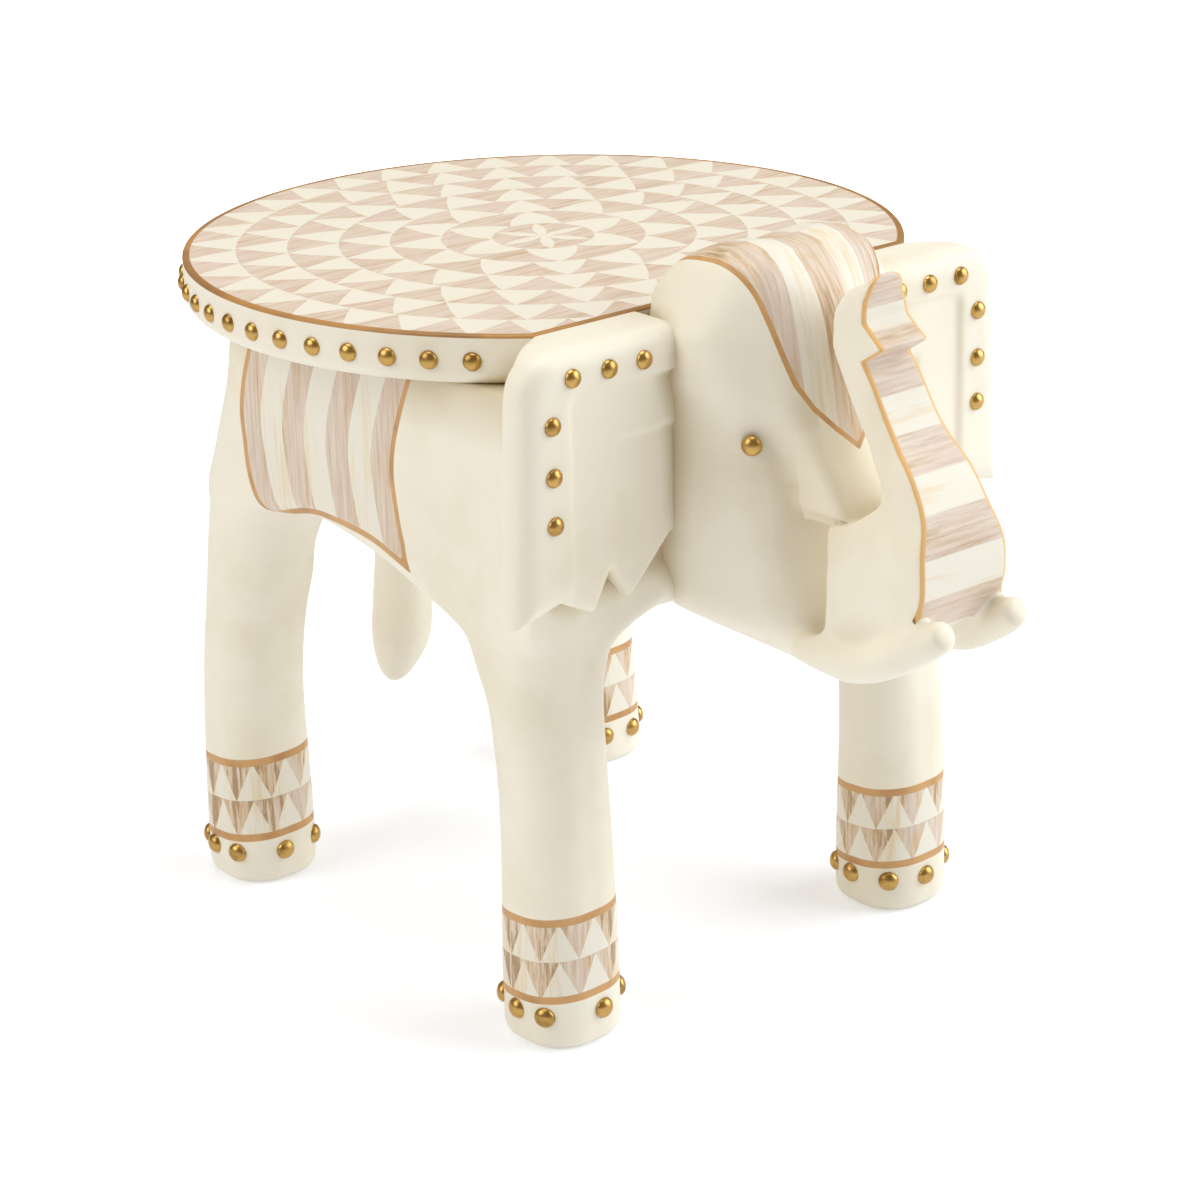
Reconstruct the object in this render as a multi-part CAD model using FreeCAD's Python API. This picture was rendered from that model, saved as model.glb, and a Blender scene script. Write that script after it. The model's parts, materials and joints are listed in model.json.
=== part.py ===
import FreeCAD, Part
import math
import os
from FreeCAD import Vector

# Carved wooden elephant stool. The elephant faces -Y, +Z is up and x = 0 is its plane of symmetry.
# A round seat board lies on a carved body block. Four legs, a head, two ears, a raised trunk,
# two tusks and a tail are carved apart and joined with glued loose tenons, and domed nails trim
# the edges.
# Places are first worked out from the centre of the seat, then moved so that the origin is
# at the middle of the footprint of the whole stool, on the floor.

# Seat board
seat_radius = 190.0
seat_thickness = 25.4
seat_height = 370.0
seat_front_share = 0.759
seat_lower_round = 7.0
seat_upper_round = 1.5

# Body block, held back from the seat's edge
side_overhang = 45.0
rear_overhang = 86.0
chest_depth = 17.8
rump_slope = 36.0
belly_height = 240.0
body_depth = 105.0
rump_round = 32.0

# Legs
leg_setback = 27.0
leg_width = 55.5
leg_corner = 24.0
leg_height = 181.0
front_foot_setback = 19.0
front_leg_lean = 6.0
rear_foot_setback = 14.0
rear_leg_lean = 14.5
rear_left_splay = 9.0
foot_round = 6.0

# Head
head_width = 134.0
head_base = 190.0
head_height = 215.0
head_depth = 91.8
head_corner = 15.0
groove_radius = 24.0
nose_width = 54.0
nose_length = 20.0
nose_base = 268.0
nose_height = 62.0
nose_round = 6.0
muzzle_width = 46.0
muzzle_length = 88.0

# Ears
ear_setback = 29.0
ear_thickness = 18.0
ear_drop = 133.4
ear_lap = 7.0
ear_corner = 20.0
ear_round = 6.0
ear_band = 31.0
ear_top_band = 22.0
ear_panel_recess = 2.0
ear_pleat_recess = 2.0
ear_pleat_width = 29.0
ear_pleat_drop = 50.0

# Trunk
trunk_height = 197.0
trunk_depth = 73.0
trunk_width = 62.0
trunk_tip_height = 400.0

# Tusks
tusk_radius = 9.0
tusk_projection = 82.0
tusk_length = 82.0
tusk_rise = 28.0
tusk_base = 211.0
tusk_spread = 68.0
tusk_sides = 12

# Tail
tail_top = 292.0
tail_length = 217.0
tail_width = 35.5
tail_projection = 15.0
tail_sweep = 38.0
tail_sides = 12

# Loose tenons that join the blocks
tenon_thickness = 14.0
tenon_length = 60.0
leg_tenon_width = 30.0
seat_tenon_width = 44.0
seat_tenon_length = 42.0
seat_tenon_hold = 16.0
seat_tenon_shares = (0.447, 0.316)
head_tenon_width = 60.0
head_tenon_heights = (250.0, 312.0)
small_tenon_thickness = 8.0
small_tenon_width = 22.0
ear_tenon_length = 30.0
ear_tenon_hold = 11.0
ear_tenon_place = 96.0
ear_tenon_heights = (285.0, 330.0)
trunk_tenon_length = 36.0
trunk_tenon_height = 242.0
tail_tenon_width = 8.0
tail_tenon_length = 26.0
tail_tenon_hold = 5.0
tenon_clearance = 0.1

# Domed nails
rim_nail_width = 9.5
ankle_nail_width = 11.0
eye_nail_width = 10.5
nail_height_share = 0.34
nail_sides = 8
nail_shank_share = 0.2
nail_shank_length = 12.0
rim_nail_drop = 13.0
rim_nail_count = 41
rim_nail_margin = 9.0
ankle_nail_height = 19.5
ear_nail_inset = 18.5
ear_nail_drop = 12.5
eye_height = 313.0

# Flats that make up a rounded corner, a long curve and the groove's tool
corner_sides = 4
curve_sides = 14
groove_sides = 20

# Room that a cutting tool runs past the face it cuts
overrun = 5.0

# Places that follow from the sizes
seat_underside = seat_height - seat_thickness
seat_front_edge = seat_radius * seat_front_share
body_half = seat_radius - side_overhang
chest_face = seat_front_edge + chest_depth
rump_top = seat_radius - rear_overhang
rump_reach = rump_top + rump_slope
leg_axis_x = body_half - leg_setback
front_foot_place = chest_face - front_foot_setback
front_leg_place = front_foot_place - front_leg_lean
rear_foot_place = rump_reach - rear_foot_setback
rear_leg_place = rear_foot_place - rear_leg_lean
face_reach = seat_front_edge + head_depth
nose_reach = face_reach + nose_length
muzzle_reach = chest_face + muzzle_length
ear_reach = seat_radius - ear_setback
ear_inner = head_width / 2 - ear_lap
trunk_back = face_reach
tusk_reach = trunk_back + tusk_projection
tail_reach = rump_reach + tail_projection


def line(a, b):
    return Part.LineSegment(a, b).toShape()


def flowing(points, sides=curve_sides):
    """Corners of a chain of flats along the smooth curve through the points."""
    curve = Part.BSplineCurve()
    curve.interpolate(points)
    return curve.discretize(Number=sides + 1)


def box(x0, x1, y0, y1, z0, z1):
    return Part.makeBox(x1 - x0, y1 - y0, z1 - z0, Vector(x0, y0, z0))


def mirrored(shape):
    return shape.mirror(Vector(0, 0, 0), Vector(1, 0, 0))


def joined(shapes):
    return shapes[0].fuse(shapes[1:]).removeSplitter()


def largest_solid(shape):
    return max(shape.Solids, key=lambda solid: solid.Volume)


def rounded_ring(corners, radii):
    """Points of a closed ring whose corners are rounded with flats, or kept sharp where the radius is 0."""
    ring = []
    count = len(corners)
    for i, corner in enumerate(corners):
        if radii[i] == 0:
            ring.append(corner)
            continue
        back = corners[i - 1] - corner
        ahead = corners[(i + 1) % count] - corner
        half = back.getAngle(ahead) / 2
        back.normalize()
        ahead.normalize()
        inward = back + ahead
        inward.normalize()
        centre = corner + inward * (radii[i] / math.sin(half))
        first = corner + back * (radii[i] / math.tan(half)) - centre
        last = corner + ahead * (radii[i] / math.tan(half)) - centre
        sweep = first.getAngle(last)
        for step in range(corner_sides + 1):
            turn = sweep * step / corner_sides
            ring.append(centre + first * (math.sin(sweep - turn) / math.sin(sweep))
                        + last * (math.sin(turn) / math.sin(sweep)))
    return ring


def rounded_rectangle(x0, x1, y0, y1, z, radius):
    corners = [Vector(x0, y0, z), Vector(x1, y0, z), Vector(x1, y1, z), Vector(x0, y1, z)]
    return rounded_ring(corners, [radius] * 4)


def facet_ring(centre, axis, radius, sides):
    """Points of a regular ring round an axis that lies near the plane x = 0."""
    ahead = Vector(axis)
    ahead.normalize()
    across = ahead.cross(Vector(1, 0, 0))
    across.normalize()
    beside = across.cross(ahead)
    ring = []
    for i in range(sides):
        turn = 2 * math.pi * (i + 0.5) / sides
        ring.append(centre + across * (radius * math.cos(turn)) + beside * (radius * math.sin(turn)))
    return ring


def flat_face(points):
    return Part.Face(Part.makePolygon(points + [points[0]]))


def carved(rings):
    """A solid of flat facets through rings of equally many points."""
    faces = [flat_face(rings[0]), flat_face(rings[-1])]
    count = len(rings[0])
    for low, high in zip(rings, rings[1:]):
        for i in range(count):
            k = (i + 1) % count
            faces.append(flat_face([low[i], low[k], high[k]]))
            faces.append(flat_face([low[i], high[k], high[i]]))
    shell = Part.makeShell(faces)
    shell.sewShape()
    solid = Part.makeSolid(shell)
    if solid.Volume < 0:
        solid.reverse()
    return solid.removeSplitter()


def side_slab(points, width):
    """A solid as wide as given, about x = 0, with a closed outline drawn on the plane x = 0."""
    face = flat_face(points)
    face.translate(Vector(-width / 2, 0, 0))
    return face.extrude(Vector(width, 0, 0))


def edges_where(shape, test):
    return [edge for edge in shape.Edges if test(edge.BoundBox)]


# Seat

def make_seat_board():
    """A turned disc with a rounded lower edge and an eased upper edge, sawn straight at the head."""
    low = Vector(0, 0, seat_underside)
    top = Vector(0, 0, seat_height)
    profile = [low]
    for step in range(corner_sides + 1):
        turn = math.pi / 2 * step / corner_sides
        profile.append(Vector(seat_radius - seat_lower_round * (1 - math.sin(turn)), 0,
                              seat_underside + seat_lower_round * (1 - math.cos(turn))))
    profile += [Vector(seat_radius, 0, seat_height - seat_upper_round),
                Vector(seat_radius - seat_upper_round, 0, seat_height), top]
    disc = flat_face(profile).revolve(Vector(0, 0, 0), Vector(0, 0, 1), 360)
    front = box(-seat_radius, seat_radius, -seat_radius, -seat_front_edge,
                seat_underside - overrun, seat_height + overrun)
    return disc.cut(front)


# Body

# The belly's arch from the chest to the rump: place along the body and height below the belly,
# as shares of the body's length and depth.
arch_shares = ((-0.1, -0.21), (0.0, -0.21), (0.29, -0.17), (0.40, -0.086), (0.54, -0.012), (0.60, 0.0),
               (0.72, -0.057), (0.80, -0.076), (1.1, -0.095))
# The rump from the belly up to the seat: how far it stands out, from its top to its full reach,
# and its height, as shares of that reach and of the body's depth.
rump_shares = ((1.0, -0.3), (0.93, -0.12), (0.63, 0.22), (0.25, 0.57), (0.0, 1.0))


def make_barrel():
    """The body between the seat and the legs, with a sloping, rounded rump and an arched belly."""
    sections = []
    for out, up in rump_shares:
        z = min(belly_height + body_depth * up, seat_underside)
        rear = rump_top + (rump_reach - rump_top) * out
        corners = [Vector(-body_half, -chest_face, z), Vector(body_half, -chest_face, z),
                   Vector(body_half, rear, z), Vector(-body_half, rear, z)]
        sections.append(rounded_ring(corners, [0, 0, rump_round, rump_round]))
    barrel = carved(sections)
    length = chest_face + rump_reach
    arch = [Vector(0, -chest_face + length * along, belly_height + body_depth * down)
            for along, down in arch_shares]
    low_front = Vector(0, arch[0].y, leg_height)
    low_rear = Vector(0, arch[-1].y, leg_height)
    under = side_slab(flowing(arch) + [low_rear, low_front], 2 * (body_half + overrun))
    return barrel.cut(under)


# The shoulders that flare from the legs into the body. For each level: height above the leg's top
# as a share of the belly's height above it; how far the inner, front, rear and outer sides have
# moved out from the leg's top, as shares of the leg's width; and the rounding of the corners
# as a share of the leg's.
front_shoulder_shares = (
    (0.0, 0.0, 0.0, 0.0, 0.0, 1.0), (0.24, 0.03, 0.0, 0.13, -0.005, 1.0),
    (0.46, 0.13, 0.0, 0.25, -0.012, 1.0), (0.60, 0.34, -0.01, 0.40, -0.02, 1.0),
    (0.76, 0.72, -0.02, 0.75, -0.03, 1.0), (1.02, 1.2, -0.04, 1.4, -0.05, 1.0))
rear_shoulder_shares = (
    (0.0, 0.0, 0.0, 0.0, 0.0, 1.0), (0.36, 0.05, 0.08, -0.01, -0.005, 1.15),
    (0.70, 0.20, 0.24, -0.03, -0.01, 1.3), (1.0, 0.55, 0.52, -0.10, -0.02, 1.4),
    (1.4, 1.0, 0.75, -0.35, -0.08, 1.4))


def make_shoulder(place, shares):
    """The flared block over one leg on the +X side."""
    half = leg_width / 2
    sections = []
    for up, inward, ahead, behind, outward, corner in shares:
        z = leg_height + (belly_height - leg_height) * up
        x0 = leg_axis_x - half - leg_width * inward
        x1 = leg_axis_x + half + leg_width * outward
        y0 = place - half - leg_width * ahead
        y1 = place + half + leg_width * behind
        sections.append(rounded_rectangle(x0, x1, y0, y1, z, leg_corner * corner))
    return carved(sections)


def make_torso():
    front = make_shoulder(-front_leg_place, front_shoulder_shares)
    rear = make_shoulder(rear_leg_place, rear_shoulder_shares)
    return joined([make_barrel(), front, rear, mirrored(front), mirrored(rear)])


# Legs

# Height, width and lean of each level, as shares of the leg's height, top width and lean.
leg_shares = ((0.155, 1.02, 0.0), (0.39, 0.99, 0.0), (0.55, 0.964, 0.03),
              (0.757, 0.95, 0.28), (0.884, 0.96, 0.62), (1.0, 1.0, 1.0))
# The foot's rounded edge: height and how far it is drawn in, as shares of its rounding.
foot_shares = ((0.0, 1.0), (0.29, 0.29), (1.0, 0.0))


def leg_section(x, y, z, wide, drawn_in):
    """A rounded square across a leg, as wide as a share of the leg's top, less what is drawn in."""
    half = leg_width * wide / 2 - drawn_in
    return rounded_rectangle(x - half, x + half, y - half, y + half, z, leg_corner * wide - drawn_in)


def make_leg(foot_place, lean, splay):
    """One leg on the +X side, from its rounded foot to the flat joint under the body."""
    sections = []
    for up, drawn_in in foot_shares:
        z = foot_round * up
        x = leg_axis_x + splay * (1 - z / leg_height)
        sections.append(leg_section(x, foot_place, z, leg_shares[0][1], foot_round * drawn_in))
    for up, wide, forward in leg_shares:
        x = leg_axis_x + splay * (1 - up)
        sections.append(leg_section(x, foot_place - lean * forward, leg_height * up, wide, 0))
    return carved(sections)


# Head

# The rounding of each level's corners, as a share of its half width in front.
head_corner_share = 0.32
# Each level of the head from the jaw up: height share of the head, then half widths as shares of
# half the head's width at the back, the cheek and the front, and places in front of the seat's
# straight edge as shares of the distance from there to the face.
head_shares = ((0.0, 0.12, 0.20, 0.24, 0.0, 0.44, 0.91), (0.05, 0.34, 0.43, 0.36, 0.0, 0.44, 1.0),
               (0.12, 0.66, 0.74, 0.43, 0.0, 0.44, 1.0), (0.235, 0.92, 0.88, 0.47, 0.0, 0.44, 0.92),
               (0.35, 0.98, 0.93, 0.49, 0.0, 0.47, 0.87), (0.65, 0.98, 0.955, 0.60, 0.0, 0.5, 0.84),
               (0.84, 0.78, 0.91, 0.69, 0.0, 0.48, 0.79), (0.92, 0.72, 0.86, 0.68, 0.07, 0.45, 0.76),
               (0.968, 0.62, 0.77, 0.62, 0.18, 0.45, 0.70), (1.0, 0.50, 0.62, 0.52, 0.31, 0.46, 0.63))


def make_skull():
    """Cheeks, forehead and crown in one smooth block, from the jaw to the top of the lobes."""
    half = head_width / 2
    reach = face_reach - seat_front_edge
    sections = []
    for up, back, cheek, front, back_at, cheek_at, front_at in head_shares:
        z = head_base + head_height * up
        y0 = -seat_front_edge - reach * back_at
        y1 = -seat_front_edge - reach * cheek_at
        y2 = -seat_front_edge - reach * front_at
        corners = [Vector(-half * back, y0, z), Vector(-half * cheek, y1, z), Vector(-half * front, y2, z),
                   Vector(half * front, y2, z), Vector(half * cheek, y1, z), Vector(half * back, y0, z)]
        small = half * front * head_corner_share
        sections.append(rounded_ring(corners, [small / 2, small, small, small, small, small / 2]))
    return carved(sections)


# The bridge of the nose, seen from the side: place from the face's recess to the nose's reach and
# height over its base, as shares.
nose_shares = ((-0.45, 1.1), (-0.1, 1.02), (0.25, 0.60), (0.75, 0.42), (0.95, 0.25), (0.88, 0.12),
               (-0.45, 0.0))


def make_nose():
    root = face_reach - head_corner
    depth = nose_reach - root
    points = [Vector(0, -root - depth * out, nose_base + nose_height * up) for out, up in nose_shares]
    nose = side_slab(points, nose_width)

    def at_front(bound):
        return bound.YMin < -root - nose_round and bound.XMax - bound.XMin < nose_round

    return nose.makeChamfer(nose_round, edges_where(nose, at_front))


# The point inside the head from which the groove's tool is held off.
groove_centre_share = 0.40
groove_level_share = 0.80
# The line that the groove's round tool follows from the crown down the forehead: places in front
# of the seat's straight edge as shares of the distance to the face, height shares of the head,
# and how deep the tool bites as a share of its radius.
groove_shares = ((0.10, 0.97, -0.10), (0.45, 1.0, 0.06), (0.72, 0.965, 0.16), (0.80, 0.86, 0.30),
                 (0.84, 0.70, 0.30), (0.93, 0.535, -0.02))


def make_groove():
    """A round tool that follows the crown and the forehead and parts the forehead into two lobes."""
    reach = face_reach - seat_front_edge
    centre_y = -seat_front_edge - reach * groove_centre_share
    centre_z = head_base + head_height * groove_level_share
    points = []
    for ahead, up, bite in groove_shares:
        point = Vector(0, -seat_front_edge - reach * ahead, head_base + head_height * up)
        outward = point - Vector(0, centre_y, centre_z)
        outward.normalize()
        points.append(point + outward * (groove_radius * (1 - bite)))
    path = flowing(points)
    rings = []
    for i, centre in enumerate(path):
        ahead = path[min(i + 1, curve_sides)] - path[max(i - 1, 0)]
        rings.append(facet_ring(centre, ahead, groove_radius, groove_sides))
    return carved(rings)


def make_head():
    skull = make_skull()
    notch = box(-head_width, head_width, -chest_face, 0, head_base - overrun, seat_underside)
    muzzle = box(-muzzle_width / 2, muzzle_width / 2, -muzzle_reach, -chest_face - head_corner,
                 tusk_base, nose_base + nose_height / 2)
    head = joined([skull, muzzle, make_nose()]).cut(make_groove()).cut(notch)
    return largest_solid(head)


# Ears

# The hem from the outer corner inwards: share of the ear's reach, share of the drop that it lacks.
hem_shares = ((1.02, 0.0), (0.84, 0.056), (0.712, -0.02), (0.647, 0.125), (0.565, 0.0), (0.396, 0.195))
# The ear's upper corner and the end of the ledge behind it, as shares of the ear's reach.
ear_top_share = 0.978
ear_ledge_share = 0.935


def make_ear():
    """The ear on the +X side: a board with a raised nail band, two pleats and a pointed hem,
    and a ledge behind its top that runs back to the seat's straight edge."""
    drop = seat_height - ear_drop
    back = -chest_face
    top_inner = Vector(ear_inner, back, seat_height)
    corner = Vector(ear_reach * ear_top_share, back, seat_height)
    hem = [Vector(ear_reach * out, back, drop + ear_drop * up) for out, up in hem_shares]
    inner = Vector(ear_inner, back, hem[-1].z)
    outline = [top_inner, corner] + hem + [inner]
    radii = [0, ear_corner] + [0] * (len(hem) + 1)
    shape = flat_face(rounded_ring(outline, radii))
    board = shape.extrude(Vector(0, -ear_thickness, 0))
    face_y = back - ear_thickness

    def at_outer_front(bound):
        return bound.YMax < face_y + ear_round and (
            bound.ZMin > seat_height - 2 * ear_corner or bound.XMin > corner.x - ear_round)

    board = board.makeChamfer(ear_round, edges_where(board, at_outer_front))
    panel_edge = ear_reach - ear_band
    panel_top = seat_height - ear_top_band
    panel = box(0, panel_edge, face_y - overrun, face_y + ear_panel_recess, 0, panel_top)
    pleat_edge = panel_edge - ear_pleat_width
    pleat = box(0, pleat_edge, face_y - overrun, face_y + ear_panel_recess + ear_pleat_recess,
                0, seat_height - ear_pleat_drop)
    seat_corner = math.sqrt(seat_radius ** 2 - seat_front_edge ** 2)
    plan = [Vector(0, back, seat_underside), Vector(0, -seat_front_edge, seat_underside),
            Vector(seat_corner, -seat_front_edge, seat_underside),
            Vector(ear_reach * ear_ledge_share, back, seat_underside)]
    beside_seat = flat_face(plan).extrude(Vector(0, 0, seat_thickness + overrun))
    ledge = shape.extrude(Vector(0, chest_depth, 0)).common(beside_seat)
    return board.cut(panel).cut(pleat).fuse(ledge).removeSplitter()


# Trunk

# The front of the raised trunk from its tip down to the tusks, and its back from the jaw up.
# Places in front of the trunk's back and heights over its base are shares of its depth and height.
tip_shares = ((0.255, 0.978), (0.285, 1.0), (0.30, 0.98), (0.27, 0.93), (0.285, 0.88), (0.465, 0.826),
              (0.295, 0.786))
front_shares = ((0.295, 0.786), (0.40, 0.732), (0.52, 0.66), (0.64, 0.60), (0.80, 0.538), (0.94, 0.45),
                (1.01, 0.355), (1.02, 0.28), (0.96, 0.206), (0.875, 0.157))
base_shares = ((0.875, 0.157), (0.6, 0.07), (0.36, 0.0), (0.165, 0.0))
back_shares = ((0.165, 0.0), (0.17, 0.25), (0.27, 0.37), (0.34, 0.46), (0.30, 0.565), (0.21, 0.65),
               (0.07, 0.76), (0.0, 0.82), (0.0, 0.87), (0.08, 0.94), (0.255, 0.978))

def trunk_point(out, up):
    base = trunk_tip_height - trunk_height
    return Vector(0, -trunk_back - trunk_depth * out, base + trunk_height * up)


def make_trunk():
    """The side outline of the S-shaped trunk, pared down to its outline from the front."""
    tip = [trunk_point(*pair) for pair in tip_shares]
    front = flowing([trunk_point(*pair) for pair in front_shares])
    base = [trunk_point(*pair) for pair in base_shares]
    back = flowing([trunk_point(*pair) for pair in back_shares])
    outline = tip[:-1] + front[:-1] + base[:-1] + back[:-1]
    side = side_slab(outline, trunk_width + overrun)
    return side.common(make_trunk_front())


# Half widths of the front strip against height, as shares of half the trunk's width and its height.
strip_shares = ((1.0, -0.05), (1.0, 0.12), (0.955, 0.21), (0.955, 0.28), (0.935, 0.36), (0.76, 0.45),
                (0.68, 0.538), (0.59, 0.62), (0.565, 0.70), (0.55, 0.78), (0.52, 0.84), (0.50, 0.90),
                (0.42, 0.945))


def make_trunk_front():
    half = trunk_width / 2
    base = trunk_tip_height - trunk_height
    right = flowing([Vector(half * wide, 0, base + trunk_height * up) for wide, up in strip_shares])
    tip_half = right[-1].x
    tip_rise = trunk_tip_height - right[-1].z
    arch = [Vector(tip_half * math.cos(math.pi * step / (2 * corner_sides)), 0,
                   right[-1].z + tip_rise * math.sin(math.pi * step / (2 * corner_sides)))
            for step in range(1, 2 * corner_sides)]
    left = [Vector(-point.x, 0, point.z) for point in right[::-1]]
    face = flat_face(right + arch + left)
    face.translate(Vector(0, -trunk_back - trunk_depth - overrun, 0))
    return face.extrude(Vector(0, trunk_depth + 2 * overrun, 0))


# Tusks

# Length share, rise share, side share of the tusks' spread and radius share of each section.
tusk_shares = ((0.0, 0.03, 1.0, 0.72), (0.32, 0.02, 0.98, 0.85), (0.51, 0.11, 0.94, 0.90),
               (0.66, 0.30, 0.90, 0.92), (0.82, 0.59, 0.82, 0.94), (0.94, 0.83, 0.76, 0.92),
               (1.006, 0.975, 0.72, 0.78), (1.043, 1.054, 0.70, 0.45))


def make_tusk():
    """The tusk on the +X side, a blunt crescent that comes out of the jaw beside the trunk."""
    centres = [Vector(tusk_spread / 2 * side, -tusk_reach + tusk_length * (1 - along),
                      tusk_base + tusk_rise * rise) for along, rise, side, wide in tusk_shares]
    sections = []
    for i, centre in enumerate(centres):
        ahead = centres[min(i + 1, len(centres) - 1)] - centres[max(i - 1, 0)]
        sections.append(facet_ring(centre, ahead, tusk_radius * tusk_shares[i][3], tusk_sides))
    return carved(sections)


# Tail

# Down, out and half-width shares of each level of the tail.
tail_shares = ((0.0, 0.0, 0.46), (0.17, 0.33, 0.56), (0.35, 0.56, 0.62), (0.65, 0.62, 0.90),
               (0.82, 0.69, 1.0), (0.92, 0.85, 0.76), (0.98, 0.96, 0.40), (1.0, 1.0, 0.12))


def tail_point(down, out):
    return Vector(0, tail_reach - tail_sweep * (1 - out), tail_top - tail_length * down)


def make_tail():
    sections = [facet_ring(tail_point(down, out), Vector(0, 0, -1), tail_width / 2 * wide, tail_sides)
                for down, out, wide in tail_shares]
    return carved(sections)


# Tenons

def tenon(centre, size):
    """A loose tenon of flat faces; size is its extent along X, Y and Z."""
    half = size * 0.5
    return box(centre.x - half.x, centre.x + half.x, centre.y - half.y, centre.y + half.y,
               centre.z - half.z, centre.z + half.z)


def mortise(centre, size):
    room = 2 * tenon_clearance
    return tenon(centre, size + Vector(room, room, room))


def tenon_groups():
    """Where each group of loose tenons lies, and the size of its tenons."""
    leg_size = Vector(leg_tenon_width, tenon_thickness, tenon_length)
    legs = [(Vector(side * leg_axis_x, place, leg_height), leg_size)
            for side in (-1, 1) for place in (-front_leg_place, rear_leg_place)]
    seat_size = Vector(seat_tenon_width, tenon_thickness, seat_tenon_length)
    seat_z = seat_underside + seat_tenon_hold - seat_tenon_length / 2
    across, along = [seat_radius * share for share in seat_tenon_shares]
    seat = [(Vector(sx * across, sy * along, seat_z), seat_size) for sx in (-1, 1) for sy in (-1, 1)]
    head_size = Vector(head_tenon_width, tenon_length, tenon_thickness)
    head = [(Vector(0, -chest_face, z), head_size) for z in head_tenon_heights]
    ear_size = Vector(small_tenon_thickness, ear_tenon_length, small_tenon_width)
    ear_y = -chest_face - ear_tenon_hold + ear_tenon_length / 2
    ears = [(Vector(side * ear_tenon_place, ear_y, z), ear_size)
            for side in (-1, 1) for z in ear_tenon_heights]
    trunk_size = Vector(small_tenon_thickness, trunk_tenon_length, small_tenon_width)
    trunk = [(Vector(0, -muzzle_reach, trunk_tenon_height), trunk_size)]
    tail_size = Vector(tail_tenon_width, tail_tenon_length, tail_tenon_width)
    tail_joint = tail_point(*tail_shares[1][:2])
    tail_back = Vector(0, tail_tenon_hold - tail_tenon_length / 2, 0)
    tail = [(tail_joint + tail_back, tail_size)]
    return {"leg_tenons": legs, "seat_tenons": seat, "head_tenons": head, "ear_tenons": ears,
            "trunk_tenon": trunk, "tail_tenon": tail}


def mortised(shape, *names):
    groups = tenon_groups()
    return shape.cut([mortise(*values) for name in names for values in groups[name]])


# Nails

def make_nail(width):
    """A domed nail on the plane z = 0, with its dome towards +Z and its square shank below."""
    radius = width / 2
    height = width * nail_height_share
    rings = []
    for turn in (0, math.pi / 4, math.pi / 2.4):
        centre = Vector(0, 0, height * math.sin(turn))
        rings.append(facet_ring(centre, Vector(0, 0, 1), radius * math.cos(turn), nail_sides))
    half = width * nail_shank_share / 2
    shank = box(-half, half, -half, half, -nail_shank_length, 0)
    return carved(rings).fuse(shank).removeSplitter()


def placed_nail(width, point, outward):
    nail = make_nail(width)
    nail.Placement = FreeCAD.Placement(point, FreeCAD.Rotation(Vector(0, 0, 1), outward))
    return nail


def rim_nails():
    z = seat_height - rim_nail_drop
    first = math.degrees(math.acos(seat_front_edge / seat_radius)) + rim_nail_margin
    step = (360 - 2 * first) / (rim_nail_count - 1)
    nails = []
    for i in range(rim_nail_count):
        turn = math.radians(first + step * i - 90)
        outward = Vector(math.cos(turn), math.sin(turn), 0)
        nails.append(placed_nail(rim_nail_width, outward * seat_radius + Vector(0, 0, z), outward))
    return nails


def on_foot(turn):
    """The point on a foot's rounded square in a direction from its middle, and the way it faces."""
    half = leg_width * leg_shares[0][1] / 2
    corner = leg_corner * leg_shares[0][1]
    flat = half - corner
    ahead = Vector(math.cos(turn), math.sin(turn), 0)
    wide, deep = abs(ahead.x), abs(ahead.y)
    if half * min(wide, deep) <= flat * max(wide, deep):
        point = ahead * (half / max(wide, deep))
        along_x = wide > deep
        return point, Vector(math.copysign(along_x, ahead.x), math.copysign(not along_x, ahead.y), 0)
    middle = Vector(math.copysign(flat, ahead.x), math.copysign(flat, ahead.y), 0)
    reach = flat * (wide + deep) + math.sqrt(corner ** 2 - (flat * (wide - deep)) ** 2)
    point = ahead * reach
    outward = point - middle
    return point, outward.normalize()


# Where the nails sit round each foot, as shares of a full turn from +X. They were set by eye.
front_left_shares = (0.03, 0.15, 0.27, 0.394, 0.49, 0.621, 0.746, 0.911)
front_right_shares = (0.035, 0.15, 0.265, 0.381, 0.492, 0.593, 0.774, 0.92)
rear_left_shares = (0.05, 0.18, 0.31, 0.44, 0.565, 0.69, 0.81, 0.925)
rear_right_shares = (0.0, 0.126, 0.253, 0.381, 0.468, 0.575, 0.729, 0.871)


def ankle_nails(side, place, splay, shares):
    """Nails all round one foot."""
    splay_here = splay * (1 - ankle_nail_height / leg_height)
    centre = Vector(side * (leg_axis_x + splay_here), place, ankle_nail_height)
    nails = []
    for share in shares:
        point, outward = on_foot(2 * math.pi * share)
        nails.append(placed_nail(ankle_nail_width, centre + point, outward))
    return nails


# Three nails down the ear's outer band and three along its top, as shares of the drop and reach.
ear_side_shares = (0.25, 0.44, 0.62)
ear_top_shares = (0.805, 0.665, 0.53)
# The eye's direction from inside the head, as a share of a full turn from +X.
eye_turn_share = 0.0972


def ear_nails(side):
    y = -chest_face - ear_thickness
    points = [Vector(side * (ear_reach - ear_nail_inset), y, seat_height - ear_drop * down)
              for down in ear_side_shares]
    points += [Vector(side * ear_reach * out, y, seat_height - ear_nail_drop) for out in ear_top_shares]
    return [placed_nail(rim_nail_width, point, Vector(0, -1, 0)) for point in points]


def eye_nail(head, side):
    """The eye sits where a line from inside the head meets its cheek."""
    turn = 2 * math.pi * eye_turn_share
    outward = Vector(side * math.cos(turn), -math.sin(turn), 0)
    start = Vector(0, -chest_face - ear_thickness, eye_height)
    probe = line(start, start + outward * head_width)
    inside = head.common(probe)
    point = start + outward * inside.Length
    return placed_nail(eye_nail_width, point, outward)


# The whole stool

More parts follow.
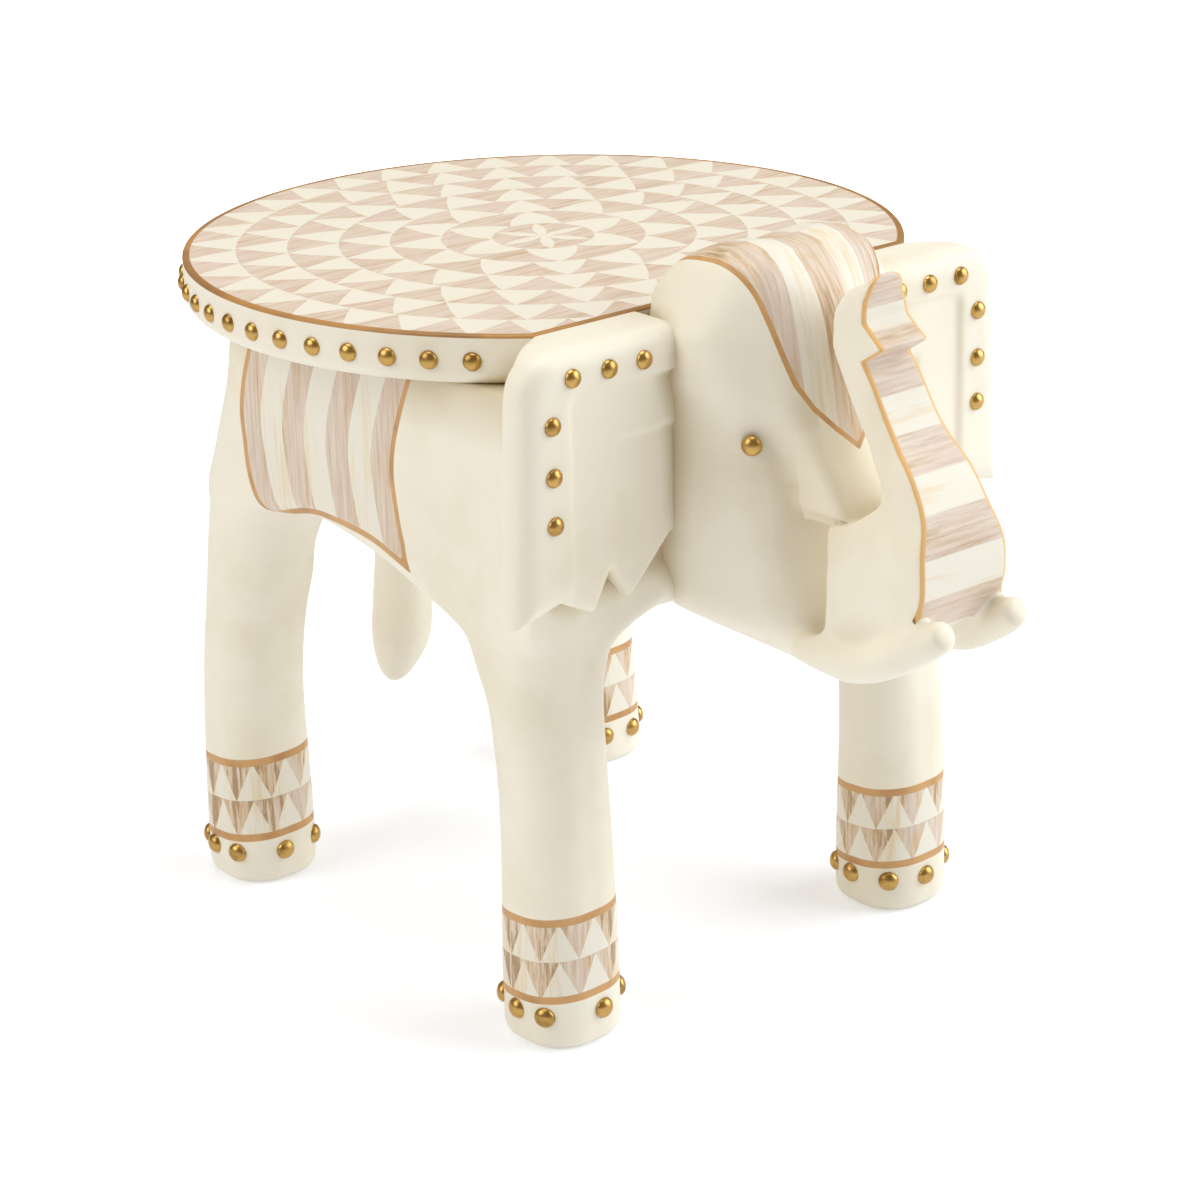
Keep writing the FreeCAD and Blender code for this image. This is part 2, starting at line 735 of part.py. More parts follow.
def make_pieces():
    torso = make_torso()
    trunk = make_trunk()
    tusk = make_tusk()
    tusks = [tusk, mirrored(tusk)]
    trunk = largest_solid(trunk.cut(tusks))
    head = largest_solid(make_head().cut([trunk] + tusks))
    ear = largest_solid(make_ear().cut(head))
    ears = [ear, mirrored(ear)]
    torso = largest_solid(torso.cut([head] + ears))
    tail = largest_solid(make_tail().cut(torso))
    front_leg = make_leg(-front_foot_place, -front_leg_lean, 0)
    rear_left = make_leg(rear_foot_place, rear_leg_lean, rear_left_splay)
    rear_right = mirrored(make_leg(rear_foot_place, rear_leg_lean, 0))
    pieces = {
        "seat_board": mortised(make_seat_board(), "seat_tenons"),
        "torso": mortised(torso, "seat_tenons", "leg_tenons", "head_tenons", "ear_tenons", "tail_tenon"),
        "leg_front_left": mortised(front_leg, "leg_tenons"),
        "leg_front_right": mortised(mirrored(front_leg), "leg_tenons"),
        "leg_rear_left": mortised(rear_left, "leg_tenons"),
        "leg_rear_right": mortised(rear_right, "leg_tenons"),
        "head": mortised(head, "head_tenons", "trunk_tenon"),
        "ear_left": mortised(ears[0], "ear_tenons"),
        "ear_right": mortised(ears[1], "ear_tenons"),
        "trunk": mortised(trunk, "trunk_tenon"),
        "tusk_left": tusks[0],
        "tusk_right": tusks[1],
        "tail": mortised(tail, "tail_tenon"),
        "seat_rim_nails": Part.makeCompound(rim_nails()),
        "ear_nails_left": Part.makeCompound(ear_nails(1)),
        "ear_nails_right": Part.makeCompound(ear_nails(-1)),
        "eye_nails": Part.makeCompound([eye_nail(head, 1), eye_nail(head, -1)]),
    }
    ankles = {"front_left": (1, -front_foot_place, 0, front_left_shares),
              "front_right": (-1, -front_foot_place, 0, front_right_shares),
              "rear_left": (1, rear_foot_place, rear_left_splay, rear_left_shares),
              "rear_right": (-1, rear_foot_place, 0, rear_right_shares)}
    for name, values in ankles.items():
        pieces["ankle_nails_" + name] = Part.makeCompound(ankle_nails(*values))
    for name, group in tenon_groups().items():
        pieces[name] = Part.makeCompound([tenon(*values) for values in group])
    return pieces


def export():
    os.makedirs("parts", exist_ok=True)
    pieces = make_pieces()
    front = pieces["tusk_left"].optimalBoundingBox().YMin
    back = pieces["seat_rim_nails"].optimalBoundingBox().YMax
    middle = Vector(0, -(front + back) / 2, 0)
    for name, shape in pieces.items():
        shape.translate(middle)
        shape.exportStep("parts/" + name + ".step")
        print(name, len(shape.Solids), round(shape.Volume), shape.isValid())
    print("seat centre at y =", round(middle.y, 3))


export()
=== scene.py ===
import json
import math
import bpy
import numpy as np
from mathutils import Matrix, Vector


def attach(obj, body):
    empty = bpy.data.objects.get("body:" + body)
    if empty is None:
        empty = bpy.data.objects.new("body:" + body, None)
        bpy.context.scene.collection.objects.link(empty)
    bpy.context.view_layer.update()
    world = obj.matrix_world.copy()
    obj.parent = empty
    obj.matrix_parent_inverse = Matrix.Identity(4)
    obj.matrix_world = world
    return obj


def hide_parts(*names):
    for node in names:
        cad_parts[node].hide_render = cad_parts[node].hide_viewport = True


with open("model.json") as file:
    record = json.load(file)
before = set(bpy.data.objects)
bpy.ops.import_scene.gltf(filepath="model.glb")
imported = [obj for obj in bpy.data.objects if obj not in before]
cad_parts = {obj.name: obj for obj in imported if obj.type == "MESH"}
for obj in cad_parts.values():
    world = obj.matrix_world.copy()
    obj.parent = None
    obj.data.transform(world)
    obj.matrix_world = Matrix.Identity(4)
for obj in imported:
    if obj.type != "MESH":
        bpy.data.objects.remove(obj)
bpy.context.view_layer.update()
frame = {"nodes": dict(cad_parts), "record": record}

# Lengths are in millimetres from the centre of the seat, on the floor, with the head towards -Y;
# make_mesh() moves a finished mesh into the frame and turns it into metres.
MM = 0.001
seat_mount = next(m for m in frame["record"]["mounts"] if m["name"] == "seat_top")
SEAT_CENTRE = Vector((0, seat_mount["pos_m"][1], 0))
seat_height = seat_mount["pos_m"][2] / MM

# Seat
seat_radius = 190.0
seat_thickness = 25.4
seat_front = 144.2
seat_top_round = 1.3
seat_low_round = 7.0
seat_gold_width = 3.8
seat_ring = 27.0
seat_teeth = 6.0

# Body and legs
body_half = 145.0
chest_face = 162.0
leg_x = 118.0
leg_half = 27.75
leg_round = 24.0
leg_top = 181.0
front_foot_y = -143.0
front_lean = -6.0
rear_foot_y = 126.0
rear_lean = 14.5
rear_left_splay = 9.0
rump_round = 32.0
belly_top = 240.0

# Head and trunk
head_base = 190.0
head_half = 67.0
face_depth = 236.0 - seat_front
head_height = 215.0
trunk_back = 236.0
trunk_depth = 73.0
trunk_base = 203.0
trunk_height = 197.0
trunk_half = 31.0
groove_radius = 24.0
groove_centre = (-180.9, 362.0)
nose_half = 27.5
muzzle_half = 22.5
muzzle_front = -249.0
muzzle_back = -170.0
muzzle_low = 211.0
muzzle_high = 281.0
brow_low = 300.0
brow_high = 400.0
brow_back = -190.0
brow_half = 26.0
brow_widening = 12.0
brow_curve = 0.0105
cheek_blend = 22.0

# Ears
ear_front = -180.0
ear_back = -162.0
ear_inner = 61.0
ear_outer = 157.5
ear_top = 370.0
ear_corner = 20.0
ear_corner_x = 138.0
panel_side = 130.0
panel_top = 348.0
panel_depth = 2.2
pleat_side = 101.0
pleat_top = 320.0
pleat_depth = 4.2
ledge_low = 344.6
ledge_side = 123.7

# Painted bands
ankle_low = 28.5
ankle_high = 71.0
ankle_teeth = 9
ankle_tilt = 2.0
rear_right_share = 0.94
saddle_stripes = 7
saddle_inset = 12.0
gold_half = 2.1
saddle_gold = 3.6
cloth_gold = 2.6
trunk_gold = 3.3

# Nails
rim_nail = 9.5
eye_nail = 10.5
ankle_nail = 11.0
nail_shank = 12.0

# Camera fitted to the photo: azimuth, elevation and roll in degrees, distance and target in metres,
# focal length and shift in pixels
camera_angles = (-39.4411, 20.4871, -1.5378)
camera_distance = 1.8213
camera_target = (0.0003, -0.0330, 0.1750)
image_size = 1200
focal_length = 3363.04
image_shift = (6.82, -2.95)
sensor_width = 36.0


# Fields: negative inside a form, in millimetres

def smooth_max(a, b, width):
    blend = np.maximum(width - np.abs(a - b), 0) / width
    return np.maximum(a, b) + blend * blend * width / 4


def smooth_min(a, b, width):
    return -smooth_max(-a, -b, width)


def eased(at, places, values):
    """Smooth values between the listed places, with no overshoot."""
    places = np.array(places, float)
    values = np.array(values, float)
    steps = np.diff(values) / np.diff(places)
    slopes = np.concatenate(([steps[0]], (steps[1:] + steps[:-1]) / 2, [steps[-1]]))
    slopes[1:-1][steps[1:] * steps[:-1] <= 0] = 0
    at = np.clip(at, places[0], places[-1])
    i = np.clip(np.searchsorted(places, at, side="right") - 1, 0, len(places) - 2)
    span = places[i + 1] - places[i]
    t = (at - places[i]) / span
    return ((2 * t ** 3 - 3 * t ** 2 + 1) * values[i] + (t ** 3 - 2 * t ** 2 + t) * span * slopes[i]
            + (3 * t ** 2 - 2 * t ** 3) * values[i + 1] + (t ** 3 - t ** 2) * span * slopes[i + 1])


def column(x, y, z, levels):
    """A form whose level sections are rounded rectangles: height, x and y limits, corner radius."""
    heights, x0, x1, y0, y1, radius = [list(v) for v in zip(*levels)]
    x0, x1, y0, y1, radius = [eased(z, heights, v) for v in (x0, x1, y0, y1, radius)]
    across = np.abs(x - (x0 + x1) / 2) - (x1 - x0) / 2 + radius
    along = np.abs(y - (y0 + y1) / 2) - (y1 - y0) / 2 + radius
    return (np.hypot(np.maximum(across, 0), np.maximum(along, 0))
            + np.minimum(np.maximum(across, along), 0) - radius)


def near_line(u, v, points, closed=False):
    """Distance from a line through the points, in the plane of u and v."""
    best = None
    ends = points[1:] + points[:1] if closed else points[1:]
    for (u0, v0), (u1, v1) in zip(points, ends):
        du, dv = u1 - u0, v1 - v0
        t = np.clip(((u - u0) * du + (v - v0) * dv) / max(du * du + dv * dv, 1e-9), 0, 1)
        gap = np.hypot(u - u0 - t * du, v - v0 - t * dv)
        best = gap if best is None else np.minimum(best, gap)
    return best


def outline(u, v, points):
    """Signed distance from a closed outline in the plane of u and v."""
    inside = np.zeros(np.broadcast(u, v).shape, bool)
    for (u0, v0), (u1, v1) in zip(points, points[1:] + points[:1]):
        if v0 != v1:
            crosses = (v0 > v) != (v1 > v)
            inside ^= crosses & (u < u0 + (u1 - u0) * (v - v0) / (v1 - v0))
    gap = near_line(u, v, points, True)
    return np.where(inside, -gap, gap)


def chain(x, y, z, points):
    """A round rod through the points, each of which ends with the rod's radius there."""
    best = None
    for start, end in zip(points, points[1:]):
        ax, ay, az, radius = start
        dx, dy, dz, growth = [b - a for a, b in zip(start, end)]
        t = np.clip(((x - ax) * dx + (y - ay) * dy + (z - az) * dz) / (dx * dx + dy * dy + dz * dz), 0, 1)
        gap = np.sqrt((x - ax - t * dx) ** 2 + (y - ay - t * dy) ** 2 + (z - az - t * dz) ** 2)
        gap = gap - (radius + growth * t)
        best = gap if best is None else np.minimum(best, gap)
    return best


# Turning a field into a mesh

def sampled(form, low, high, step):
    """The form's field on a grid, whose rim is kept outside the form."""
    axes = [np.arange(a, b + step, step) for a, b in zip(low, high)]
    x, y, z = axes[0][:, None, None], axes[1][None, :, None], axes[2][None, None, :]
    field = np.array(np.broadcast_to(form(x, y, z), (len(axes[0]), len(axes[1]), len(axes[2]))))
    for axis in range(3):
        for end in (0, -1):
            rim = [slice(None)] * 3
            rim[axis] = end
            field[tuple(rim)] = np.maximum(field[tuple(rim)], step / 2)
    return field


def net(field, low, step):
    """Vertices and quads along the surface where the field is zero."""
    inside = field < 0
    cells = np.array(field.shape) - 1
    quads, keys, places = [], [], []
    for axis in range(3):
        b, c = (axis + 1) % 3, (axis + 2) % 3
        near = [slice(None)] * 3
        far = [slice(None)] * 3
        near[axis], far[axis] = slice(0, -1), slice(1, None)
        near, far = tuple(near), tuple(far)
        crossed = inside[near] != inside[far]
        index = np.argwhere(crossed)
        place = index.astype(float)
        place[:, axis] += field[near][crossed] / (field[near][crossed] - field[far][crossed])
        corners = []
        for step_b, step_c in ((0, 0), (1, 0), (1, 1), (0, 1)):
            cell = index.copy()
            cell[:, b] -= step_b
            cell[:, c] -= step_c
            corners.append(np.ravel_multi_index(cell.T, cells))
            keys.append(corners[-1])
            places.append(place)
        quad = np.stack(corners, 1)
        turned = ~inside[near][crossed]
        quad[turned] = quad[turned][:, ::-1]
        quads.append(quad)
    keys, places, quads = np.concatenate(keys), np.concatenate(places), np.concatenate(quads)
    cell, where = np.unique(keys, return_inverse=True)
    count = np.bincount(where)
    points = np.stack([np.bincount(where, places[:, k]) / count for k in range(3)], 1)
    return points * step + np.array(low), np.searchsorted(cell, quads)


def relaxed(points, quads):
    """Evens out the small steps that the grid leaves."""
    a = quads.ravel()
    b = np.roll(quads, -1, 1).ravel()
    count = np.bincount(a, minlength=len(points)) + np.bincount(b, minlength=len(points))
    for push in (0.5, -0.52, 0.5, -0.52):
        mean = np.stack([(np.bincount(a, points[b, k], len(points))
                          + np.bincount(b, points[a, k], len(points))) / count for k in range(3)], 1)
        points = points + push * (mean - points)
    return points


def make_mesh(name, points, faces):
    """A smooth shaded piece from points in millimetres."""
    mesh = bpy.data.meshes.new(name)
    mesh.from_pydata((np.asarray(points) * MM + np.array(SEAT_CENTRE)).tolist(), [],
                     faces.tolist() if hasattr(faces, "tolist") else faces)
    mesh.polygons.foreach_set("use_smooth", [True] * len(mesh.polygons))
    mesh.update()
    piece = bpy.data.objects.new(name, mesh)
    bpy.context.scene.collection.objects.link(piece)
    return piece


def carved(name, form, low, high, step):
    """A piece in the shape of the form, and the millimetre places of its vertices."""
    points, quads = net(sampled(form, low, high, step), low, step)
    points = relaxed(points, quads)
    return make_mesh(name, points, quads), points


def painted(piece, **values):
    """Stores a number per vertex for the piece's material to read."""
    for key, value in values.items():
        layer = piece.data.attributes.new(key, "FLOAT", "POINT")
        layer.data.foreach_set("value", np.asarray(value, np.float32))


def settle(piece, slot, material, *nodes):
    """Gives the piece its material and puts it in the place of the named CAD nodes."""
    piece.data.materials.append(material)
    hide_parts(*nodes)
    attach(piece, "root")


# Body and legs

# Levels of a leg: height, width and lean, as shares
leg_levels = ((0.0, 1.02, 0.0), (0.155, 1.02, 0.0), (0.39, 0.99, 0.0), (0.55, 0.964, 0.03),
              (0.757, 0.95, 0.28), (0.884, 0.96, 0.62), (1.0, 1.0, 1.0))
# Levels of a shoulder: height over the leg, growth inward, ahead, behind and outward in leg widths,
# and corner radius, as shares
front_shoulder = ((0.24, 0.03, 0.0, 0.13, -0.005, 1.0), (0.46, 0.13, 0.0, 0.25, -0.012, 1.0),
                  (0.60, 0.34, -0.01, 0.40, -0.02, 1.0), (0.76, 0.72, -0.02, 0.75, -0.03, 1.0),
                  (1.02, 1.2, -0.04, 1.4, -0.05, 1.0))
rear_shoulder = ((0.36, 0.05, 0.08, -0.01, -0.005, 1.15), (0.70, 0.20, 0.24, -0.03, -0.01, 1.3),
                 (1.0, 0.55, 0.52, -0.10, -0.02, 1.4), (1.4, 1.0, 0.75, -0.35, -0.08, 1.4))
# How far back the rump stands at each height
rump_heights = (150.0, 200.0, 208.0, 227.0, 263.0, 300.0, 345.0)
rump_places = (140.0, 140.0, 140.0, 137.5, 127.0, 113.0, 104.0)
# Place and height along the arch of the belly
arch_line = ((-192.0, 218.0), (-162.0, 218.0), (-74.0, 222.0), (-41.0, 231.0), (1.0, 238.7),
             (19.0, 240.0), (56.0, 234.0), (80.0, 232.0), (170.0, 230.0))


def limb_levels(foot_y, lean, shoulder):
    """The rounded rectangles of a leg and its shoulder, from the floor up."""
    levels = []
    for up, wide, forward in leg_levels:
        half = leg_half * wide
        y = foot_y - lean * forward
        levels.append((leg_top * up, leg_x - half, leg_x + half, y - half, y + half, leg_round * wide))
    top_y = foot_y - lean
    full = 2 * leg_half
    for up, inward, ahead, behind, outward, corner in shoulder:
        levels.append((leg_top + (belly_top - leg_top) * up, leg_x - leg_half - full * inward,
                       leg_x + leg_half + full * outward, top_y - leg_half - full * ahead,
                       top_y + leg_half + full * behind, leg_round * corner))
    return levels


def limb(x, y, z, foot_y, lean, shoulder):
    """One leg and the shoulder over it, rounded off at the foot."""
    levels = limb_levels(foot_y, lean, shoulder)
    shape = column(x, y, z, levels)
    shape = smooth_max(shape, -z, 8.0)
    return smooth_max(shape, z - levels[-1][0], 6.0)


def arch_height(y):
    return eased(y, *zip(*arch_line))


def barrel(x, y, z):
    """The body block with its rounded rump and the arch under the belly."""
    rear = eased(z, rump_heights, rump_places)
    across = x - body_half + rump_round
    along = y - rear + rump_round
    on_corner = (across > 0) & (along > 0)
    plan = np.where(on_corner, np.hypot(across, along), np.maximum(across, along)) - rump_round
    plan = smooth_max(plan, -chest_face - y, 5.0)
    body = np.maximum(plan, z - (seat_height - seat_thickness))
    return smooth_max(body, (arch_height(y) - z) * 0.97, 12.0)


def splayed(x, z):
    """How far the rear left leg stands outside the line of the others."""
    return np.where(x > 0, rear_left_splay * np.clip(1 - z / leg_top, 0, 1), 0)


def body_form(x, y, z):
    side = np.abs(x)
    front = limb(side, y, z, front_foot_y, front_lean, front_shoulder)
    rear = limb(side - splayed(x, z), y, z, rear_foot_y, rear_lean, rear_shoulder)
    return smooth_min(barrel(side, y, z), smooth_min(front, rear, 4.0), 9.0)


# Painted saddle: height and place along its front and rear edges, place and height along the low one
saddle_front = ((200.0, -88.0), (234.7, -68.7), (243.6, -63.9), (256.0, -59.8), (271.0, -56.8),
                (284.0, -55.3), (300.0, -57.8), (317.0, -64.0), (334.0, -71.8), (345.0, -78.0))
saddle_rear = ((200.0, 45.0), (229.9, 62.7), (236.3, 67.6), (250.0, 73.5), (268.7, 78.1), (285.0, 80.1),
               (302.0, 77.3), (320.4, 70.6), (345.0, 58.0))
saddle_low = ((-80.0, 231.0), (-68.7, 234.7), (-57.0, 237.8), (-40.6, 241.6), (-28.0, 243.7),
              (-10.7, 244.8), (6.8, 245.0), (24.9, 242.7), (38.8, 238.7), (62.7, 229.9), (80.0, 222.0))
# Painted shade on the body under the seat: the height from which it grows, and its amount
seat_shade_low = 312.0
seat_shade = 0.7


def paint_body(piece, points):
    """Marks out the saddle, the bands at the ankles and the painted shade."""
    x, y, z = points.T
    front = eased(z, *zip(*saddle_front))
    rear = eased(z, *zip(*saddle_rear))
    inside = np.minimum(y - front, rear - y)
    inside = np.minimum(inside, z - eased(y, *zip(*saddle_low)))
    inside = np.minimum(inside, np.abs(x) - body_half + saddle_inset)
    leg_y = np.where(y < 0, front_foot_y, rear_foot_y)
    across = np.abs(x) - leg_x - np.where(y < 0, 0, splayed(x, z))
    turn = np.arctan2(y - leg_y, across)
    level = z + (y - leg_y) / leg_half * ankle_tilt - across * np.sign(x) / leg_half
    rear_right = (x < 0) & (y > 0)
    level = np.where(rear_right, ankle_low + (level - ankle_low) * rear_right_share, level)
    # Painted shade under the seat's overhang, darker towards the seat
    seat_overhang_shade = np.clip((z - seat_shade_low) / 32.0, 0, 1) * seat_shade
    painted(piece, saddle=inside, across=(y - front) / (rear - front) * saddle_stripes, height=level,
            turn_sin=np.sin(turn), turn_cos=np.cos(turn), hollow=np.maximum(hollows(points), seat_overhang_shade))


# Head and trunk

# Levels of the skull: height, half widths at back, cheek and front, and their depths, as shares
head_levels = ((0.0, 0.12, 0.20, 0.24, 0.0, 0.44, 0.91), (0.05, 0.34, 0.43, 0.36, 0.0, 0.44, 1.0),
               (0.12, 0.66, 0.74, 0.43, 0.0, 0.44, 1.0), (0.235, 0.92, 0.88, 0.47, 0.0, 0.44, 0.92),
               (0.35, 0.98, 0.93, 0.49, 0.0, 0.47, 0.87), (0.65, 0.98, 0.955, 0.60, 0.0, 0.5, 0.84),
               (0.72, 0.90, 1.04, 0.64, 0.0, 0.485, 0.82), (0.80, 0.82, 1.05, 0.67, 0.0, 0.485, 0.80),
               (0.86, 0.79, 0.97, 0.69, 0.0, 0.48, 0.785), (0.92, 0.75, 0.87, 0.68, 0.07, 0.45, 0.76),
               (0.968, 0.62, 0.77, 0.62, 0.18, 0.45, 0.70), (1.0, 0.50, 0.62, 0.52, 0.31, 0.46, 0.63))
nose_side = ((-205.0, 338.0), (-220.0, 334.0), (-231.5, 318.0), (-240.0, 304.0), (-252.5, 286.0),
             (-256.0, 278.5), (-223.0, 276.5), (-205.0, 276.5))
# Place and height along the crown and forehead, and how far below it the groove's tool goes, as a
# share of the tool's radius
groove_line = ((-153.4, 398.6, -0.10), (-185.5, 405.0, 0.06), (-210.3, 397.5, 0.16),
               (-217.6, 374.9, 0.10), (-221.3, 340.5, -0.20), (-229.6, 305.0, -0.40))
# Height and place of the forehead's middle, which swells towards the trunk
brow_line = ((300.0, -233.0), (316.0, -233.5), (326.0, -233.3), (339.0, -232.3), (352.0, -229.8),
             (366.0, -226.8), (379.0, -222.0), (390.0, -214.0), (400.0, -202.0))
# The trunk from the side, as shares of its depth and height
tip_shares = ((0.255, 0.978), (0.285, 1.0), (0.30, 0.98), (0.27, 0.93), (0.285, 0.88), (0.465, 0.826),
              (0.295, 0.786))
front_shares = ((0.295, 0.786), (0.40, 0.732), (0.52, 0.66), (0.64, 0.60), (0.80, 0.538), (0.94, 0.45),
                (1.01, 0.355), (1.02, 0.28), (0.96, 0.206), (0.875, 0.157))
base_shares = ((0.875, 0.157), (0.6, 0.07), (0.36, 0.0), (0.165, 0.0))
back_shares = ((0.145, 0.0), (0.14, 0.25), (0.135, 0.362), (0.28, 0.383), (0.49, 0.437), (0.545, 0.47),
               (0.53, 0.50), (0.38, 0.585), (0.23, 0.66), (0.07, 0.76), (0.0, 0.82), (0.0, 0.87),
               (0.08, 0.94), (0.255, 0.978))
# The trunk from the front: height and half width, as shares
strip_shares = ((-0.05, 1.0), (0.12, 1.0), (0.21, 0.955), (0.28, 0.955), (0.36, 0.935), (0.45, 0.76),
                (0.538, 0.68), (0.62, 0.59), (0.70, 0.565), (0.78, 0.55), (0.84, 0.52), (0.90, 0.50),
                (0.945, 0.42), (0.985, 0.28), (1.0, 0.08))


def trunk_place(pair):
    return (-trunk_back - trunk_depth * pair[0], trunk_base + trunk_height * pair[1])


def flowing(points, count=6):
    """More points on a smooth line through the given ones."""
    at = np.arange(len(points), dtype=float)
    fine = np.linspace(0, len(points) - 1, (len(points) - 1) * count + 1)
    return list(zip(*[eased(fine, at, values) for values in zip(*points)]))


trunk_front = [trunk_place(p) for p in tip_shares[:-1]] + flowing([trunk_place(p) for p in front_shares])
trunk_side = (trunk_front[:-1] + [trunk_place(p) for p in base_shares]
              + flowing([trunk_place(p) for p in back_shares])[:-1])


def trunk_width(z):
    heights, shares = zip(*strip_shares)
    return trunk_half * eased((z - trunk_base) / trunk_height, heights, shares)


def skull(x, y, z):
    """The block of the head, whose sides widen to the cheeks and narrow to the face."""
    rows = list(zip(*head_levels))
    level = (z - head_base) / head_height
    back, cheek, front, back_at, cheek_at, front_at = [eased(level, rows[0], row) for row in rows[1:]]
    back, cheek, front = head_half * back, head_half * cheek, head_half * front
    y0, y1, y2 = [-seat_front - face_depth * at for at in (back_at, cheek_at, front_at)]

    def side(xa, ya, xb, yb):
        length = np.hypot(xb - xa, yb - ya)
        return ((x - xa) * (ya - yb) + (y - ya) * (xb - xa)) / length

    shape = smooth_max(side(back, y0, cheek, y1), side(cheek, y1, front, y2), cheek_blend)
    shape = smooth_max(shape, y2 - y, cheek_blend)
    shape = smooth_max(shape, y - y0, 10.0)
    shape = smooth_max(shape, (z - head_base - head_height) * 0.9, 10.0)
    return smooth_max(shape, (head_base - z) * 0.9, 8.0)


def groove(x, y, z):
    """The round tool that parts the skull into two lobes."""
    points = []
    for place, height, bite in groove_line:
        out = np.array((place - groove_centre[0], height - groove_centre[1]))
        out = out / np.hypot(*out) * groove_radius * (1 - bite)
        points.append((place + out[0], height + out[1]))
    gap = near_line(y, z, flowing(points, 4))
    return np.hypot(x, gap) - groove_radius


def brow(x, y, z):
    """The swell of the forehead, which narrows down to the nose."""
    half = brow_half + brow_widening * np.clip((z - brow_low) / 32.0, 0, 1)
    shape = smooth_max(eased(z, *zip(*brow_line)) + brow_curve * x * x - y, x - half, 8.0)
    return np.maximum(np.maximum(shape, y - brow_back), np.maximum(brow_low - z, z - brow_high))


def head_form(x, y, z):
    """Head, trunk and tusks in one; blends are soft except where the trunk and nose stand free."""
    x = np.abs(x)
    nose = smooth_max(outline(y, z, list(nose_side)), x - nose_half, 9.0)
    muzzle = np.maximum(np.maximum(x - muzzle_half, muzzle_front - y),
                        np.maximum(y - muzzle_back, np.maximum(muzzle_low - z, z - muzzle_high)))
    trunk = smooth_max(outline(y, z, trunk_side), x - trunk_width(z), 3.0)
    head = smooth_max(skull(x, y, z), -groove(x, y, z), 8.0)
    head = smooth_min(head, brow(x, y, z), 9.0)
    head = smooth_min(head, muzzle, 13.0)
    in_jaw = np.clip((275.0 - z) / 25.0, 0, 1)
    on_bridge = np.clip((z - 283.0) / 18.0, 0, 1)
    head = smooth_min(head, trunk, 0.5 + 10.0 * in_jaw)
    head = smooth_min(head, nose, 2.0 + 9.0 * on_bridge)
    return smooth_min(head, tusk_form(x, y, z), 9.0)


# Painted cloth on the forehead: half width against height
cloth_widths = ((307.0, 0.0), (318.0, 12.0), (329.0, 22.0), (341.0, 29.0), (355.0, 33.0), (368.0, 36.5),
                (382.0, 40.5), (397.0, 45.0), (410.0, 46.0))
cloth_edges = (9.5, 24.5)
# Painted shade on the cheeks: place, height, reach and amount
shade_spots = ((-230.0, 270.0, 16.0, 0.15), (-185.0, 300.0, 22.0, 0.25), (-215.0, 300.0, 14.0, 0.2),
               (-236.0, 330.0, 10.0, 0.5))
# Heights at which the bands on the trunk change
trunk_stripes = (383.0, 373.0, 342.5, 326.0, 310.0, 293.5, 273.6, 253.8, 232.0)
# Place, height and slope of the line behind which the trunk is grown onto the forehead
trunk_root = (-232.0, 305.5, 0.05)
# No cloth below this height behind this place, nor this close to the seat
cheek_edge = (345.0, -205.0)
seat_margin = 3.0
# A distance that is surely outside the cloth's border
off_cloth = -9.0
# Less painted shade on the nose bridge: its lower and upper height, its back and the share that is left
nose_shade = (274.0, 320.0, -226.0, 0.3)


def paint_head(piece, points):
    """Marks out the cloth, the trunk's painted front and the painted shade."""
    x, y, z = points.T
    side = np.abs(x)
    gap = near_line(side, z, [(half, height) for height, half in cloth_widths])
    inside = side < np.interp(z, *zip(*cloth_widths), left=-1)
    on_trunk = outline(y, z, trunk_side) < 0.8
    root, root_height, slope = trunk_root
    free_trunk = on_trunk & (y < root + (z - root_height) * slope)
    behind = (y > -seat_front - seat_margin) | ((z < cheek_edge[0]) & (y > cheek_edge[1]))
    cloth = np.where(free_trunk | behind, off_cloth, np.where(inside, gap, -gap))
    strip = trunk_width(z) - side
    facing = 1.1 - near_line(y, z, trunk_front)
    band = np.zeros(len(z))
    for height in trunk_stripes:
        band += np.clip((height - z) / 2.0 + 0.5, 0, 1)
    # Painted shade in creases, with more on the cheeks and less on the nose bridge
    hollow = hollows(points)
    for place, height, reach, amount in shade_spots:
        far = ((y - place) ** 2 + (z - height) ** 2) / reach ** 2
        hollow = hollow + amount * np.exp(-far) * (side > 20.0)
    nose_low, nose_high, nose_back, left = nose_shade
    on_nose = (z > nose_low) & (z < nose_high) & (y < nose_back) & ~on_trunk
    hollow = np.where(on_nose, left * hollow, hollow)
    painted(piece, cloth=cloth, side=x, strip=strip, facing=facing, band=band,
            hollow=np.clip(hollow, 0, 1))


# Ears

# Side and height along the pointed hem, and round the whole ear
hem_line = ((164.2, 236.6), (135.2, 244.1), (114.6, 233.9), (104.2, 253.3), (91.0, 236.6), (63.8, 262.6))
ear_line = ((20.0, ear_top), (ear_outer, ear_top)) + hem_line + ((20.0, hem_line[-1][1]),)


def ear_form(x, y, z):
    """The ear on the +X side: a board with a sunk panel, a deeper pleat and a ledge to the seat."""
    shape = outline(x, z, list(ear_line))
    across, above = x - ear_corner_x, z - ear_top + ear_corner
    corner = np.hypot(np.maximum(across, 0), np.maximum(above, 0)) - ear_corner
    shape = np.where((across > 0) & (above > 0), np.maximum(shape, corner), shape)
    board = smooth_max(shape, ear_front - y, 13.0)
    slant = (x - ledge_side) * 0.553 + (y + seat_front) * 0.833
    ledge = np.maximum(np.maximum(y + seat_front + 0.1, ledge_low - z), slant)
    board = smooth_max(board, np.minimum(y - ear_back, ledge), 2.0)
    depth = y - ear_front - 3.0 * np.clip((92.0 - x) / 32.0, 0, 1) ** 1.3
    panel = smooth_max(smooth_max(x - panel_side, z - panel_top, 8.0), depth - panel_depth, 3.0)
    pleat = smooth_max(smooth_max(x - pleat_side, z - pleat_top, 5.0), depth - pleat_depth, 3.0)
    board = smooth_max(smooth_max(board, -panel, 4.5), -pleat, 3.5)
    return np.maximum(board, ear_inner - x)


# Tusks and tail

